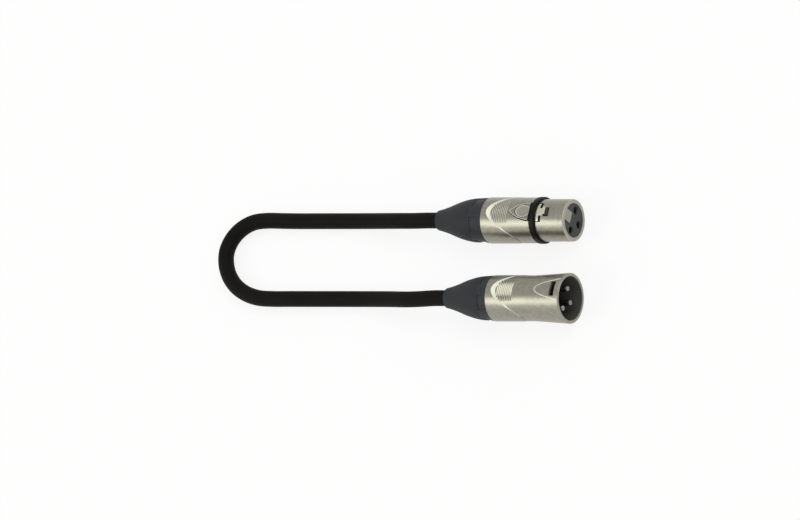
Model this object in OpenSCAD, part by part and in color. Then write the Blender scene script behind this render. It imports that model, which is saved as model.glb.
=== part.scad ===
// Short microphone lead: a round cable in one bend between a three-pole socket connector
// with a press-to-release latch and a three-pole plug connector. Lengths are millimetres.
// Each connector is drawn along X with its front face at x = 0 and its latch side up, and is
// then set in its place, side by side, on the surface z = 0.

/* [Layout] */
// Distance between the axes of the two connectors
axis_gap = 32.2; // [26:0.1:45]
// How far the socket connector's front lies behind the plug connector's front
front_lag = 7.3; // [0:0.1:12]

/* [Mating interface] */
// Diameter of the nose that enters the mating shell
nose_d = 15.9; // [15.7:0.05:16.0]
// Length of the nose from its front face to the ring
nose_l = 12.4; // [11.5:0.1:12.6]
// Inside diameter of the plug connector's shell
socket_d = 16.3; // [16.1:0.05:16.4]
// Depth of the plug connector's shell
socket_depth = 15.0; // [14:0.1:15.5]
// Diameter of the circle on which the three contacts stand
contact_pcd = 8.1; // [7.9:0.05:8.3]
// Diameter of a pin
pin_d = 2.4; // [2.3:0.05:2.5]
// Distance of the pin tips behind the rim
pin_recess = 2.0; // [1:0.1:3]
// Radial clearance between a pin and the bore of its socket contact
contact_clear = 0.02; // [0.01:0.01:0.05]

/* [Shells] */
// Length of the socket connector's shell
female_body_l = 36.0; // [35.5:0.1:38]
// Length of the plug connector's shell
male_body_l = 32.4; // [32:0.1:36]
// Diameter of both shells at the waist
waist_d = 17.1; // [16.9:0.1:17.5]
// Diameter over the rim of the plug connector
rim_d = 19.0; // [18.2:0.1:20]
// How far the rear sleeve stands proud of the waist
sleeve_proud = 0.1; // [0.05:0.05:0.4]
// Length of the flared front of the plug connector
flare_l = 15.0; // [12:0.1:16]
// Radius of the rounded front edge of the nose
nose_edge = 0.8; // [0.4:0.1:1.2]
// Distance from the sleeve's rear end to the apex of its swept front edge
sweep_apex = 2.35; // [1.5:0.05:3.5]
// Length along the shell of the sleeve's swept front edge, from its apex to its sides
sweep_l = 12.0; // [10:0.5:13]
// Depth of the finger dip below the waist, at the apex of the sweep
dip_depth = 0.6; // [0.3:0.05:0.7]
// Number of grip ribs in the finger dip
rib_count = 9; // [4:1:10]
// Distance from one grip rib to the next
rib_pitch = 0.8; // [0.7:0.05:0.9]
// Height of a grip rib
rib_h = 0.15; // [0.1:0.05:0.25]
// Width of the soft ring behind the nose
ring_w = 2.3; // [2.2:0.1:3]
// Diameter over the soft ring
ring_d = 17.6; // [17.5:0.1:18.2]

/* [Latch] */
// Width of the latch lever
lever_w = 7.0; // [6:0.1:7.2]
// Length of the thumb tongue behind the ring
tongue_l = 9.0; // [8.4:0.1:9.2]
// Width of the latch tooth
tooth_w = 3.0; // [2.4:0.1:4]
// Height of the latch tooth above the nose
tooth_h = 1.2; // [0.8:0.05:1.3]
// Gap around the lever in its channel
lever_gap = 0.25; // [0.2:0.01:0.3]
// Angle through which the lever is pressed to release
press_angle = 5.5; // [4.5:0.1:6]
// Diameter of the lever's hinge pin
hinge_pin_d = 1.0; // [0.8:0.05:1.1]
// Radial clearance of the lever on its hinge pin
hinge_clear = 0.04; // [0.02:0.01:0.08]
// Width of the latch window in the plug connector's rim
window_w = 5.9; // [5:0.1:6.5]

/* [Cable entry] */
// Diameter of the cable
cable_d = 6.0; // [5.6:0.1:6.6]
// Length of the visible grip band of the socket connector's bushing
female_band_l = 6.0; // [4:0.1:8]
// Length of the visible grip band of the plug connector's bushing
male_band_l = 4.5; // [4:0.1:8]
// Length of the soft gland behind the grip band
gland_l = 17.1; // [16:0.1:20]
// Length of the bushing's threaded neck
neck_l = 7.2; // [6.6:0.1:7.4]
// Diameter of the gland where it meets the grip band
gland_d = 16.5; // [16:0.1:17]
// Clearance of a part that slides into place inside a shell
slip = 0.05; // [0.03:0.01:0.08]

/* [Hidden] */
$fn = 72;
cut = 0.1;
margin = 1;
span = 60;
touch = 0.01;

// Mating radii
nose_r = nose_d / 2;
socket_r = socket_d / 2;
pin_r = pin_d / 2;
contact_r = contact_pcd / 2;
contact_bore_r = pin_r + contact_clear;
contact_wall = 0.4;
contact_sleeve_r = contact_bore_r + contact_wall;
contact_depth = 15;
contact_front = -1.45;
contact_mouth_r = contact_bore_r + 0.35;
contact_mouth_l = 0.5;
pin_tip_r = 0.9;
shank_r = pin_r + 0.3;
cup_r = 1.45;
cup_bore_r = 0.95;
cup_bore_l = 3.3;
cup_l = 4.3;

// Shell radii and stations
waist_r = waist_d / 2;
rim_r = rim_d / 2;
rim_edge = 0.3;
sleeve_r = waist_r + sleeve_proud;
sleeve_l = sweep_apex + sweep_l + margin;
sweep_steps = 14;
sweep_overrun = 1.1;
ring_r = ring_d / 2;
ring_edge = 0.35;
ring_seat_r = nose_r - 0.1;
ring_front = -nose_l;
ring_rear = ring_front - ring_w;
shoulder_r = waist_r + 0.07;
shoulder_run = 9;
rear_bore_r = 7.75;
clip_t = 0.4;
clip_tongue_r = 6.35;
clip_tongue_l = 1.6;
clip_tongue_w = 1.8;
clip_tongue_t = 0.3;
skirt_r = 6.1;
skirt_wall = 0.4;
skirt_overlap = 1.6;

// Finger dip: a large cylinder, lowered and tilted, takes a shallow bite ahead of the sweep
dip_r = waist_r + 0.35;
dip_z = waist_r - dip_depth;
dip_l = 12;
dip_tilt = atan((dip_depth + 0.1) / dip_l);
rib_w = 0.35;
rib_root = 0.3;
rib_start = 2.4;
rib_arc = 62;

// Insert of the socket connector
insert_bore_r = 6.4;
insert_r = insert_bore_r - slip;
insert_recess = 0.2;
channel_end = ring_rear - tongue_l - lever_gap;
female_seat = channel_end - 0.65;
female_clip = -female_body_l + neck_l;
female_flange = female_clip + clip_t;
land_w = 4.3;
land_z = 2.15;
land_l = 6.0;

// Insert of the plug connector
male_clip = -male_body_l + neck_l;
male_flange = male_clip + clip_t;
ledge_l = 1.5;
ledge_r = 7.1;
male_seat = -socket_depth - ledge_l;

// Latch lever: it turns on the pin at its rear end and swings into a groove of the insert
shoulder_reach = 1.5;
shoulder_gap = 1.0;
tooth_reach = 5.5;
tooth_ramp = 0.7;
hook_reach = 3.5;
arm_reach = 0.5;
shoulder_front = ring_front + shoulder_reach;
tooth_front = ring_front + tooth_reach;
hook_front = tooth_front - tooth_ramp;
hook_rear = ring_front + hook_reach;
lever_z = insert_bore_r + 0.2;
crown_r = 12;
crown_z = shoulder_r + 0.13;
under_ring_r = nose_r - 0.2;
arm_r = nose_r - 0.05;
thumb_r = 12;
thumb_depth = 0.55;
thumb_lag = 2.7;
thumb_x = ring_rear - thumb_lag;
pivot_inset = 1.3;
pivot_lift = 0.7;
pivot_x = ring_rear - tongue_l + pivot_inset;
pivot_z = lever_z + pivot_lift;
hinge_pin_r = hinge_pin_d / 2;
hinge_pin_l = 6.6;
swing = (tooth_front - pivot_x) * sin(press_angle);
groove_clear = 0.35;
groove_inset = 2;
groove_z = lever_z - swing - groove_clear;
groove_rear = channel_end + groove_inset;
spring_lead = 4.8;
spring_x = pivot_x + spring_lead;
spring_r = 1.1;
spring_wire_r = 0.16;
spring_turns = 4;
spring_pocket_r = 1.5;
spring_pocket_depth = 1.6;
spring_seat_z = groove_z - spring_pocket_depth;

// Latch window and its raised outline on the plug connector
window_front = -1.9;
window_l = 2.1;
ridge_l = 10.5;
ridge_front = -0.4;
ridge_w = 0.35;
ridge_h = 0.12;
ridge_curve = 1.36;
ridge_inner_curve = 1.25;
ridge_steps = 9;

// Cable entry, measured back from the shell's rear end
cable_r = cable_d / 2;
neck_r = rear_bore_r - slip;
neck_bore_r = skirt_r + 0.4;
thread_count = 5;
thread_depth = 0.15;
thread_w = 0.5;
band_front_r = waist_r - 0.02;
gland_r = gland_d / 2;
gland_tip_r = 3.75;
gland_bend = 8.5;
gland_bend_r = 6.4;
gland_taper = 0.71;
gland_power = 1.6;
gland_seat_r = 6.9;
gland_seat_end_r = 5.2;
gland_seat_l = 7;
exit_r = cable_r + 0.3;
collet_r = skirt_r;
collet_tip_r = 4.2;
collet_front_l = 3.0;
collet_cone_l = 8.2;
collet_wall = 0.9;
collet_slot_w = 0.8;
collet_slot_l = 6.4;
jacket_stop = 2.6;
wire_r = 0.6;
drain_r = 0.5;
wire_spread = 0.95;
wire_clear = 0.3;
pocket_count = 5;
pocket_arc = 44;
pocket_first = 36;
pocket_depth = 0.4;
pocket_front = 1.2;
pocket_rear = 0.7;

// Places of the two connectors: the pair is centred on x = 0 and y = 0
female_l = female_body_l + female_band_l + gland_l;
male_l = male_body_l + male_band_l + gland_l;
male_x = max(female_l + front_lag, male_l) / 2;
male_y = -(axis_gap + ring_r - rim_r) / 2;
male_at = [male_x, male_y, rim_r];
female_at = [male_x - front_lag, male_y + axis_gap, ring_r];

// Route of the free cable: from the socket connector, down to the surface, round the bend
// and back up into the plug connector
floor_z = cable_r;
female_exit = female_at - [female_l, 0, 0];
male_exit = male_at - [male_l, 0, 0];
female_lead = [[0, 0, 0], [-5.7, 0, 0], [-11.7, 0, -0.3], [-18.7, 0.45, -1.3],
               [-26.7, 1.3, -3.2], [-34.7, 2.05, -4.9]];
male_lead = [[-35.1, 2.05, -5.4], [-27.1, 1.15, -3.5], [-19.1, 0.15, -1.5],
             [-12.1, -0.15, -0.4], [-6.1, 0, 0], [0, 0, 0]];
// Plan of the part on the surface, with y from the plug connector's axis when the axes lie
// plan_gap apart; it widens with the gap between them
plan_gap = 32.2;
plan = [[-75.9, 34.65], [-83.9, 34.65], [-91.9, 34.65], [-99.9, 34.65], [-107.1, 34.75],
        [-114, 34.85], [-119.7, 34.15], [-124.2, 31.75], [-127.4, 27.85], [-128.8, 22.75],
        [-127.9, 17.45], [-125.1, 12.15], [-120.8, 7.75], [-115.4, 4.65], [-109.4, 2.95],
        [-102.9, 2.55], [-95.9, 2.55], [-87.9, 2.55], [-79.9, 2.55], [-71.9, 2.55],
        [-63.9, 2.55]];
route = concat(
    [for (p = female_lead) female_exit + p],
    [for (p = plan) [p[0], male_y + p[1] * axis_gap / plan_gap, floor_z]],
    [for (p = male_lead) male_exit + p]);
cable_sides = 12;

// Colours
nickel = [0.68, 0.66, 0.60];
black_rubber = [0.09, 0.09, 0.10];
slate = [0.25, 0.26, 0.28];
insert_black = [0.13, 0.14, 0.15];
brass = [0.80, 0.65, 0.35];
steel = [0.70, 0.71, 0.72];
nylon = [0.85, 0.84, 0.80];
copper = [0.72, 0.43, 0.28];

// ---- General shapes ----

// Solid of revolution about X from [radius, x] pairs
module turned(profile) rotate([0, 90, 0]) rotate_extrude() polygon(profile);

// Round bar about X between two stations
module bar(r, x0, x1) translate([x0, 0, 0]) rotate([0, 90, 0]) cylinder(r = r, h = x1 - x0);

// Tube about X between two stations
module tube(r_out, r_in, x0, x1) difference() {
    bar(r_out, x0, x1);
    bar(r_in, x0 - cut, x1 + cut);
}

// Round bar across the connector, along Y
module cross_bar(r, x, z, w) translate([x, -w / 2, z]) rotate([-90, 0, 0]) cylinder(r = r, h = w);

// Part of a ring about X, centred on the given angle from the latch side
module arc_ring(r_in, r_out, x0, x1, centre, arc) rotate([0, 90, 0])
    rotate([0, 0, 180 + centre - arc / 2]) rotate_extrude(angle = arc)
        translate([r_in, x0]) square([r_out - r_in, x1 - x0]);

// Points of an arc in a [radius, x] profile
function arc_points(c, r, a0, a1, n) =
    [for (i = [0:n]) let (a = a0 + (a1 - a0) * i / n) [c[0] + r * cos(a), c[1] + r * sin(a)]];

// Place of contact 1, 2 or 3 across the connector; side is 1 on pins and -1 on sockets
function contact_place(i, side) = contact_r * (i == 1 ? [side, 0] : i == 2 ? [-side, 0] : [0, -1]);

// ---- Shell features that both connectors share ----

// Everything ahead of the swept edge, which is a parabola seen from above or below
module ahead_of_sweep(apex) linear_extrude(2 * span, center = true) polygon(concat(
    [for (i = [-sweep_steps:sweep_steps]) let (t = sweep_overrun * i / sweep_steps)
        [apex + sweep_l * t * t, sleeve_r * t]],
    [[span, sleeve_r * sweep_overrun], [span, -sleeve_r * sweep_overrun]]));

// Rear sleeve with its swept front edge
module swept_sleeve(body_l) difference() {
    bar(sleeve_r, -body_l, sleeve_l - body_l);
    ahead_of_sweep(sweep_apex - body_l);
}

// Frame of the finger dip, with X along the axis of its large cylinder
module in_dip(apex) translate([apex, 0, dip_z]) rotate([0, -dip_tilt, 0])
    translate([0, 0, -dip_r]) children();

// Material that the finger dip takes away
module dip_cut(apex) intersection() {
    ahead_of_sweep(apex);
    difference() {
        translate([apex - margin, -sleeve_r - margin, 0])
            cube([dip_l + margin, 2 * (sleeve_r + margin), sleeve_r + margin]);
        in_dip(apex) bar(dip_r, -dip_l, 2 * dip_l);
    }
}

// Grip ribs in the finger dip
module grip_ribs(apex) in_dip(apex) for (i = [0:rib_count - 1])
    let (x = rib_start + i * rib_pitch)
        arc_ring(dip_r - rib_root, dip_r + rib_h, x, x + rib_w, 0, rib_arc);

// ---- Socket connector ----

// Plan of the latch lever: pointed tongue, wide shoulders and narrow tooth. The slot for it is
// grown all round, and more ahead of the shoulders
module latch_plan(grow, ahead) {
    w = lever_w / 2 + grow;
    l = tongue_l + grow;
    r = (w * w + l * l) / (2 * w);
    intersection() {
        translate([ring_rear, r - w]) circle(r, $fn = 240);
        translate([ring_rear, w - r]) circle(r, $fn = 240);
        translate([ring_rear - l - margin, -w]) square([l + margin + cut, 2 * w]);
    }
    translate([ring_rear, -w]) square([shoulder_front + ahead - ring_rear, 2 * w]);
    translate([ring_rear, -tooth_w / 2 - grow])
        square([tooth_front + grow - ring_rear, tooth_w + 2 * grow]);
}

module female_blank() turned(concat(
    [[0, -female_body_l], [waist_r, -female_body_l], [waist_r, ring_rear - shoulder_run],
     [shoulder_r, ring_rear], [ring_seat_r, ring_rear], [ring_seat_r, ring_front],
     [nose_r, ring_front]],
    arc_points([nose_r - nose_edge, -nose_edge], nose_edge, 0, 90, 5),
    [[0, 0]]));

module female_housing() color(nickel) translate(female_at) {
    apex = sweep_apex - female_body_l;
    difference() {
        union() {
            difference() {
                union() {
                    female_blank();
                    swept_sleeve(female_body_l);
                }
                dip_cut(apex);
            }
            grip_ribs(apex);
        }
        bar(insert_bore_r, female_seat - cut, cut);
        bar(rear_bore_r, -female_body_l - cut, female_seat);
        linear_extrude(span) latch_plan(lever_gap, shoulder_gap);
        cross_bar(hinge_pin_r, pivot_x, pivot_z, hinge_pin_l);
    }
    // Metal land that keys the front of the insert
    intersection() {
        bar(insert_bore_r + cut, -land_l, 0);
        translate([-land_l, -land_w / 2, land_z]) cube([land_l, land_w, insert_bore_r]);
    }
}

module female_ring() color(black_rubber) translate(female_at) turned(concat(
    [[ring_seat_r + touch, ring_rear]],
    arc_points([ring_r - ring_edge, ring_rear + ring_edge], ring_edge, -90, 0, 4),
    arc_points([ring_r - ring_edge, ring_front - ring_edge], ring_edge, 0, 90, 4),
    [[ring_seat_r + touch, ring_front]]));

module latch() color(nickel) translate(female_at) difference() {
    union() {
        intersection() {
            linear_extrude(span) latch_plan(0, 0);
            translate([-span, -lever_w, lever_z]) cube([span, 2 * lever_w, span]);
            union() {
                translate([0, 0, crown_z - crown_r]) bar(crown_r, -span, ring_rear - lever_gap);
                bar(under_ring_r, ring_rear - margin, ring_front + margin);
                bar(arm_r, ring_front + arm_reach, 0);
            }
        }
        // Locking tooth with its steep front
        translate([0, tooth_w / 2, 0]) rotate([90, 0, 0]) linear_extrude(tooth_w)
            polygon([[hook_rear, lever_z], [hook_rear, nose_r + tooth_h],
                     [hook_front, nose_r + tooth_h], [tooth_front, under_ring_r],
                     [tooth_front, lever_z]]);
    }
    // Thumb dish
    translate([thumb_x, 0, crown_z + thumb_r - thumb_depth])
        sphere(thumb_r, $fn = 180);
    cross_bar(hinge_pin_r + hinge_clear, pivot_x, pivot_z, 2 * lever_w);
}

module latch_pin() color(steel) translate(female_at)
    cross_bar(hinge_pin_r, pivot_x, pivot_z, hinge_pin_l);

// Round tube with flat ends, swept along points with a frame at each
function unit(v) = v / norm(v);
function heading(p, i) = unit(p[min(i + 1, len(p) - 1)] - p[max(i - 1, 0)]);
function ring_at(c, h, r, sides) =
    let (side = unit(cross([0, 0, 1], h)), up = cross(h, side))
        [for (k = [0:sides - 1]) let (a = 360 * (k + 0.5) / sides)
            c + r * (cos(a) * side + sin(a) * up)];

module swept_tube(p, r, sides, first, last) {
    n = len(p);
    rings = [for (i = [0:n - 1])
        let (h = i == 0 ? first : i == n - 1 ? last : heading(p, i))
            each ring_at(p[i], h, r, sides)];
    start = [[for (k = [0:sides - 1]) k]];
    walls = [for (i = [0:n - 2]) for (k = [0:sides - 1])
        let (a = i * sides + k, b = i * sides + (k + 1) % sides)
            each [[a, a + sides, b], [b, a + sides, b + sides]]];
    end = [[for (k = [sides - 1:-1:0]) (n - 1) * sides + k]];
    polyhedron(rings, concat(start, walls, end), convexity = 6);
}

module latch_spring() color(steel) translate(female_at + [spring_x, 0, 0]) {
    steps = 14;
    z0 = spring_seat_z + spring_wire_r;
    rise = lever_z - spring_seat_z - 2 * spring_wire_r;
    total = spring_turns * steps;
    coil = [for (i = [0:total])
        [spring_r * cos(360 * i / steps), spring_r * sin(360 * i / steps), z0 + rise * i / total]];
    swept_tube(coil, spring_wire_r, 6, heading(coil, 0), heading(coil, total));
}

module female_insert() color(insert_black) translate(female_at) difference() {
    union() {
        bar(insert_r, female_seat, -insert_recess);
        bar(rear_bore_r - slip, female_flange, female_seat);
        tube(skirt_r, skirt_r - skirt_wall, -female_body_l + skirt_overlap, female_flange);
    }
    // Notch for the metal land
    translate([-land_l - slip, -land_w / 2 - slip, land_z - slip])
        cube([land_l + margin, land_w + 2 * slip, insert_bore_r]);
    // Groove that the latch swings into, and the spring's pocket
    translate([groove_rear, -lever_w / 2 - lever_gap, groove_z])
        cube([tooth_front + lever_gap - groove_rear, lever_w + 2 * lever_gap, insert_bore_r]);
    translate([spring_x, 0, spring_seat_z]) cylinder(r = spring_pocket_r, h = insert_bore_r);
    for (i = [1:3]) translate([0, contact_place(i, -1)[0], contact_place(i, -1)[1]]) {
        bar(contact_bore_r, contact_front - cut, cut);
        turned([[0, -insert_recess - contact_mouth_l],
                [contact_bore_r, -insert_recess - contact_mouth_l],
                [contact_mouth_r, -insert_recess], [contact_mouth_r, cut], [0, cut]]);
        bar(contact_sleeve_r + slip, female_flange - cut, contact_front + slip);
    }
}

module female_contact(i) color(brass)
    translate(female_at + [0, contact_place(i, -1)[0], contact_place(i, -1)[1]]) difference() {
        union() {
            bar(contact_sleeve_r, female_flange, contact_front);
            bar(cup_r, female_flange - cup_l, female_flange);
        }
        bar(contact_bore_r, contact_front - contact_depth, 0);
        bar(cup_bore_r, female_flange - cup_l - cut, female_flange - cup_l + cup_bore_l);
    }

module female_contact_1() female_contact(1);
module female_contact_2() female_contact(2);
module female_contact_3() female_contact(3);

// ---- Pieces behind the insert, the same on both connectors ----

// Stamped earth clip between insert and bushing, with a tongue to contact 1
module ground_clip(x, side) difference() {
    union() {
        tube(rear_bore_r - slip, skirt_r + slip, x, x + clip_t);
        translate([x - clip_tongue_l, side * clip_tongue_r, 0])
            translate([0, -clip_tongue_t * (1 + side) / 2, -clip_tongue_w / 2])
                cube([clip_tongue_l + clip_t / 2, clip_tongue_t, clip_tongue_w]);
    }
    bar(skirt_r + slip, x - span, x + span);
}

// Bushing: threaded neck, grip band and the cone that closes the chuck
module bushing(body_l, band_l) {
    j = -body_l;
    end = j - band_l - gland_seat_l;
    cone_end = j - collet_front_l - collet_cone_l;
    difference() {
        union() {
            turned([[0, j + neck_l], [neck_r - thread_depth, j + neck_l],
                    [neck_r - thread_depth, j], [band_front_r, j], [gland_r, j - band_l],
                    [gland_seat_r, j - band_l], [gland_seat_end_r, end], [0, end]]);
            for (i = [1:thread_count]) let (x = j + i * neck_l / (thread_count + 1))
                bar(neck_r, x, x + thread_w);
        }
        turned([[0, j + neck_l + cut], [neck_bore_r, j + neck_l + cut],
                [neck_bore_r, j - collet_front_l], [collet_tip_r + 3 * slip, cone_end],
                [exit_r, cone_end], [exit_r, end - cut], [0, end - cut]]);
        for (i = [0:pocket_count - 1])
            arc_ring(band_front_r - pocket_depth, waist_r + margin, j - band_l + pocket_rear,
                     j - pocket_front, pocket_first + i * 360 / pocket_count, pocket_arc);
    }
}

// Chuck: slotted collet that grips the cable's jacket
module chuck(body_l) {
    j = -body_l;
    step = j - collet_front_l;
    end = step - collet_cone_l + 4 * slip;
    difference() {
        turned([[0, j + skirt_overlap], [collet_r, j + skirt_overlap], [collet_r, step],
                [collet_tip_r, end], [0, end]]);
        bar(collet_r - collet_wall, step, j + skirt_overlap + cut);
        bar(cable_r + touch, end - cut, step + cut);
        for (a = [45, 135]) rotate([a, 0, 0])
            translate([end - cut, -collet_slot_w / 2, -span / 2])
                cube([collet_slot_l, collet_slot_w, span]);
    }
}

// Radius of the gland at a distance s from its tip: it swells, then rounds off to the band
function gland_swell(t) = gland_taper * t + (1 - gland_taper) * t * t;
function gland_radius(s) = s < gland_bend
    ? gland_tip_r + (gland_bend_r - gland_tip_r) * gland_swell(s / gland_bend)
    : gland_r - (gland_r - gland_bend_r) * pow((gland_l - s) / (gland_l - gland_bend), gland_power);

// Soft gland over the bushing's tail
module gland(body_l, band_l) {
    front = -body_l - band_l;
    tip = front - gland_l;
    seat_end = front - gland_seat_l - touch;
    edge = 0.3;
    steps = 18;
    difference() {
        turned(concat(
            [[0, tip], [gland_tip_r - edge, tip]],
            [for (i = [0:steps]) let (s = max(edge, gland_l * i / steps)) [gland_radius(s), tip + s]],
            [[0, front]]));
        turned([[0, front + cut], [gland_seat_r + touch, front + cut],
                [gland_seat_r + touch, front], [gland_seat_end_r + touch, seat_end],
                [cable_r + touch, seat_end], [cable_r + touch, tip - cut], [0, tip - cut]]);
    }
}

// Cable end inside the connector
module cable_end(body_l, band_l)
    bar(cable_r, -body_l - band_l - gland_l, -body_l - jacket_stop);

// One conductor: straight out of its solder cup, then easing inward to the cable's end
module conductor(i, side, flange, body_l, r) {
    start = [0, contact_place(i, side)[0], contact_place(i, side)[1]];
    inward = (wire_spread - contact_r) * unit(start);
    cup_end = flange - cup_l;
    bend_l = cup_end - wire_clear + body_l + jacket_stop;
    steps = 8;
    bend = [for (k = [0:steps]) let (t = k / steps)
        start + [cup_end - wire_clear - bend_l * t, 0, 0] + inward * t * t * (3 - 2 * t)];
    swept_tube(concat([start + [cup_end + cup_bore_l - 0.2, 0, 0]], bend), r, 10,
               [-1, 0, 0], [-1, 0, 0]);
}

module female_ground_clip() color(steel) translate(female_at) ground_clip(female_clip, -1);
module female_bushing() color(slate) translate(female_at) bushing(female_body_l, female_band_l);
module female_chuck() color(nylon) translate(female_at) chuck(female_body_l);
module female_gland() color(slate) translate(female_at) gland(female_body_l, female_band_l);
module female_cable_end() color(black_rubber) translate(female_at)
    cable_end(female_body_l, female_band_l);
module female_wire_2() color("red") translate(female_at)
    conductor(2, -1, female_flange, female_body_l, wire_r);
module female_wire_3() color("white") translate(female_at)
    conductor(3, -1, female_flange, female_body_l, wire_r);
module female_shield_tail() color(copper) translate(female_at)
    conductor(1, -1, female_flange, female_body_l, drain_r);

// ---- Plug connector ----

// Outline of the raised line around the latch window: two parabolas about the X axis
function parabola(l, curve) = [for (i = [-ridge_steps:ridge_steps])
    let (t = i / ridge_steps) [ridge_front - l + l * t * t, curve * t * sqrt(l)]];

module ridge_plan() difference() {
    polygon(parabola(ridge_l, ridge_curve));
    polygon(parabola(ridge_l - ridge_w, ridge_inner_curve));
}

module male_blank(grow) turned([
    [0, -male_body_l], [waist_r + grow, -male_body_l], [waist_r + grow, -flare_l],
    [rim_r + grow, -rim_edge], [rim_r - rim_edge, 0], [0, 0]]);

module male_housing() color(nickel) translate(male_at) {
    apex = sweep_apex - male_body_l;
    difference() {
        union() {
            difference() {
                union() {
                    male_blank(0);
                    swept_sleeve(male_body_l);
                }
                dip_cut(apex);
            }
            grip_ribs(apex);
            intersection() {
                linear_extrude(span) ridge_plan();
                male_blank(ridge_h);
            }
        }
        bar(socket_r, -socket_depth, cut);
        bar(ledge_r, male_seat - cut, -socket_depth + cut);
        bar(rear_bore_r, -male_body_l - cut, male_seat);
        translate([window_front - window_l, -window_w / 2, socket_r - margin])
            cube([window_l, window_w, rim_r]);
    }
}

module male_insert() color(insert_black) translate(male_at) difference() {
    union() {
        bar(ledge_r - slip, male_seat, -socket_depth);
        bar(rear_bore_r - slip, male_flange, male_seat);
        tube(skirt_r, skirt_r - skirt_wall, -male_body_l + skirt_overlap, male_flange);
    }
    for (i = [1:3]) translate([0, contact_place(i, 1)[0], contact_place(i, 1)[1]])
        bar(shank_r + touch, male_flange - cut, cut);
}

module male_pin(i) color(brass)
    translate(male_at + [0, contact_place(i, 1)[0], contact_place(i, 1)[1]]) difference() {
        union() {
            turned(concat(
                [[0, male_flange - margin], [shank_r, male_flange - margin],
                 [shank_r, -socket_depth], [pin_r, -socket_depth]],
                arc_points([pin_r - pin_tip_r, -pin_recess - pin_tip_r], pin_tip_r, 0, 90, 6),
                [[0, -pin_recess]]));
            bar(cup_r, male_flange - cup_l, male_flange);
        }
        bar(cup_bore_r, male_flange - cup_l - cut, male_flange - cup_l + cup_bore_l);
    }

module male_pin_1() male_pin(1);
module male_pin_2() male_pin(2);
module male_pin_3() male_pin(3);

module male_ground_clip() color(steel) translate(male_at) ground_clip(male_clip, 1);
module male_bushing() color(slate) translate(male_at) bushing(male_body_l, male_band_l);
module male_chuck() color(nylon) translate(male_at) chuck(male_body_l);
module male_gland() color(slate) translate(male_at) gland(male_body_l, male_band_l);
module male_cable_end() color(black_rubber) translate(male_at) cable_end(male_body_l, male_band_l);
module male_wire_2() color("red") translate(male_at)
    conductor(2, 1, male_flange, male_body_l, wire_r);
module male_wire_3() color("white") translate(male_at)
    conductor(3, 1, male_flange, male_body_l, wire_r);
module male_shield_tail() color(copper) translate(male_at)
    conductor(1, 1, male_flange, male_body_l, drain_r);

// ---- Free cable ----

module cable() color(black_rubber)
    swept_tube(route, cable_r / cos(180 / cable_sides), cable_sides, [-1, 0, 0], [1, 0, 0]);

female_housing();
female_ring();
latch();
latch_pin();
latch_spring();
female_insert();
female_contact_1();
female_contact_2();
female_contact_3();
female_ground_clip();
female_bushing();
female_chuck();
female_gland();
female_cable_end();
female_wire_2();
female_wire_3();
female_shield_tail();
male_housing();
male_insert();
male_pin_1();
male_pin_2();
male_pin_3();
male_ground_clip();
male_bushing();
male_chuck();
male_gland();
male_cable_end();
male_wire_2();
male_wire_3();
male_shield_tail();
cable();
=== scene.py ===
"""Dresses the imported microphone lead: shells, boots, grip bands, latch, contacts and cable.

Lengths in the classes are millimetres. Each connector has axes of its own: x runs along it with
the front face at zero, and an angle goes round it from the latch side, positive towards +Y.
"""

from __future__ import annotations

import logging
import math
from dataclasses import astuple, dataclass, field
from enum import Enum
from typing import Callable, Iterable, Sequence

import bmesh
import bpy
from mathutils import Matrix, Vector


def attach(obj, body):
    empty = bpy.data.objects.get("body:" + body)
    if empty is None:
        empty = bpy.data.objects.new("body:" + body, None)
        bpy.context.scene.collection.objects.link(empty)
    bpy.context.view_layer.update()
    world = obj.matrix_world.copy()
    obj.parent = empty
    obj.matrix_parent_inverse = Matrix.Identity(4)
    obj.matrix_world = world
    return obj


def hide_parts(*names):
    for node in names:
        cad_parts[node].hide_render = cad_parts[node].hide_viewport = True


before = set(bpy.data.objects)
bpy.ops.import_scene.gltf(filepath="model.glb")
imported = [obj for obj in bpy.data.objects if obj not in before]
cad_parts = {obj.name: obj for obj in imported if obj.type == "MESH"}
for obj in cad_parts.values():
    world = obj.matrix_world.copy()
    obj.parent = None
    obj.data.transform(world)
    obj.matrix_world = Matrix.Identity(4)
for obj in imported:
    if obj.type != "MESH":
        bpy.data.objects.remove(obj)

LOG = logging.getLogger("lead")
MM = 0.001
LEAD = "lead"

SHARP_DEG = 24.0  # faces that meet at more than this keep a sharp edge
MERGE_M = 1e-7  # vertices closer than this become one
PLACE_DIGITS = 7  # decimals of a metre that tell two vertices apart
EASE_SHARE = 0.45  # most of an outline's side that one rounded corner may take
UPRIGHT = 0.1  # a face whose normal rises less than this is a wall
WALL_REACH = 0.1  # millimetres round a slot in which a wall counts as the slot's
MOTTLE_DETAIL = 3.0
MOTTLE_BAND = (0.3, 0.7)
GRAIN_DETAIL = 2.0

Colour = tuple[float, float, float]
Point = tuple[float, float, float]


# ---- Helpers ----


def clamp(value: float, low: float = 0.0, high: float = 1.0) -> float:
    """Keeps a value between two limits."""
    return min(high, max(low, value))


def add_object(name: str, data: bpy.types.ID) -> bpy.types.Object:
    """Makes an object from its data and links it to the scene.

    Args:
        name: The object's name.
        data: Its mesh, camera or lamp.

    Returns:
        The new object.
    """
    made = bpy.data.objects.new(name, data)
    bpy.context.scene.collection.objects.link(made)
    return made


def fill(tree: bpy.types.NodeTree, node: bpy.types.Node,
         inputs: dict[str | int, object]) -> None:
    """Fills or links a node's inputs.

    Args:
        tree: The tree that has the node.
        node: The node.
        inputs: Value or socket for each input, by its name or number.
    """
    for key, value in inputs.items():
        if isinstance(value, bpy.types.NodeSocket):
            tree.links.new(value, node.inputs[key])
        else:
            node.inputs[key].default_value = value


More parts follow.
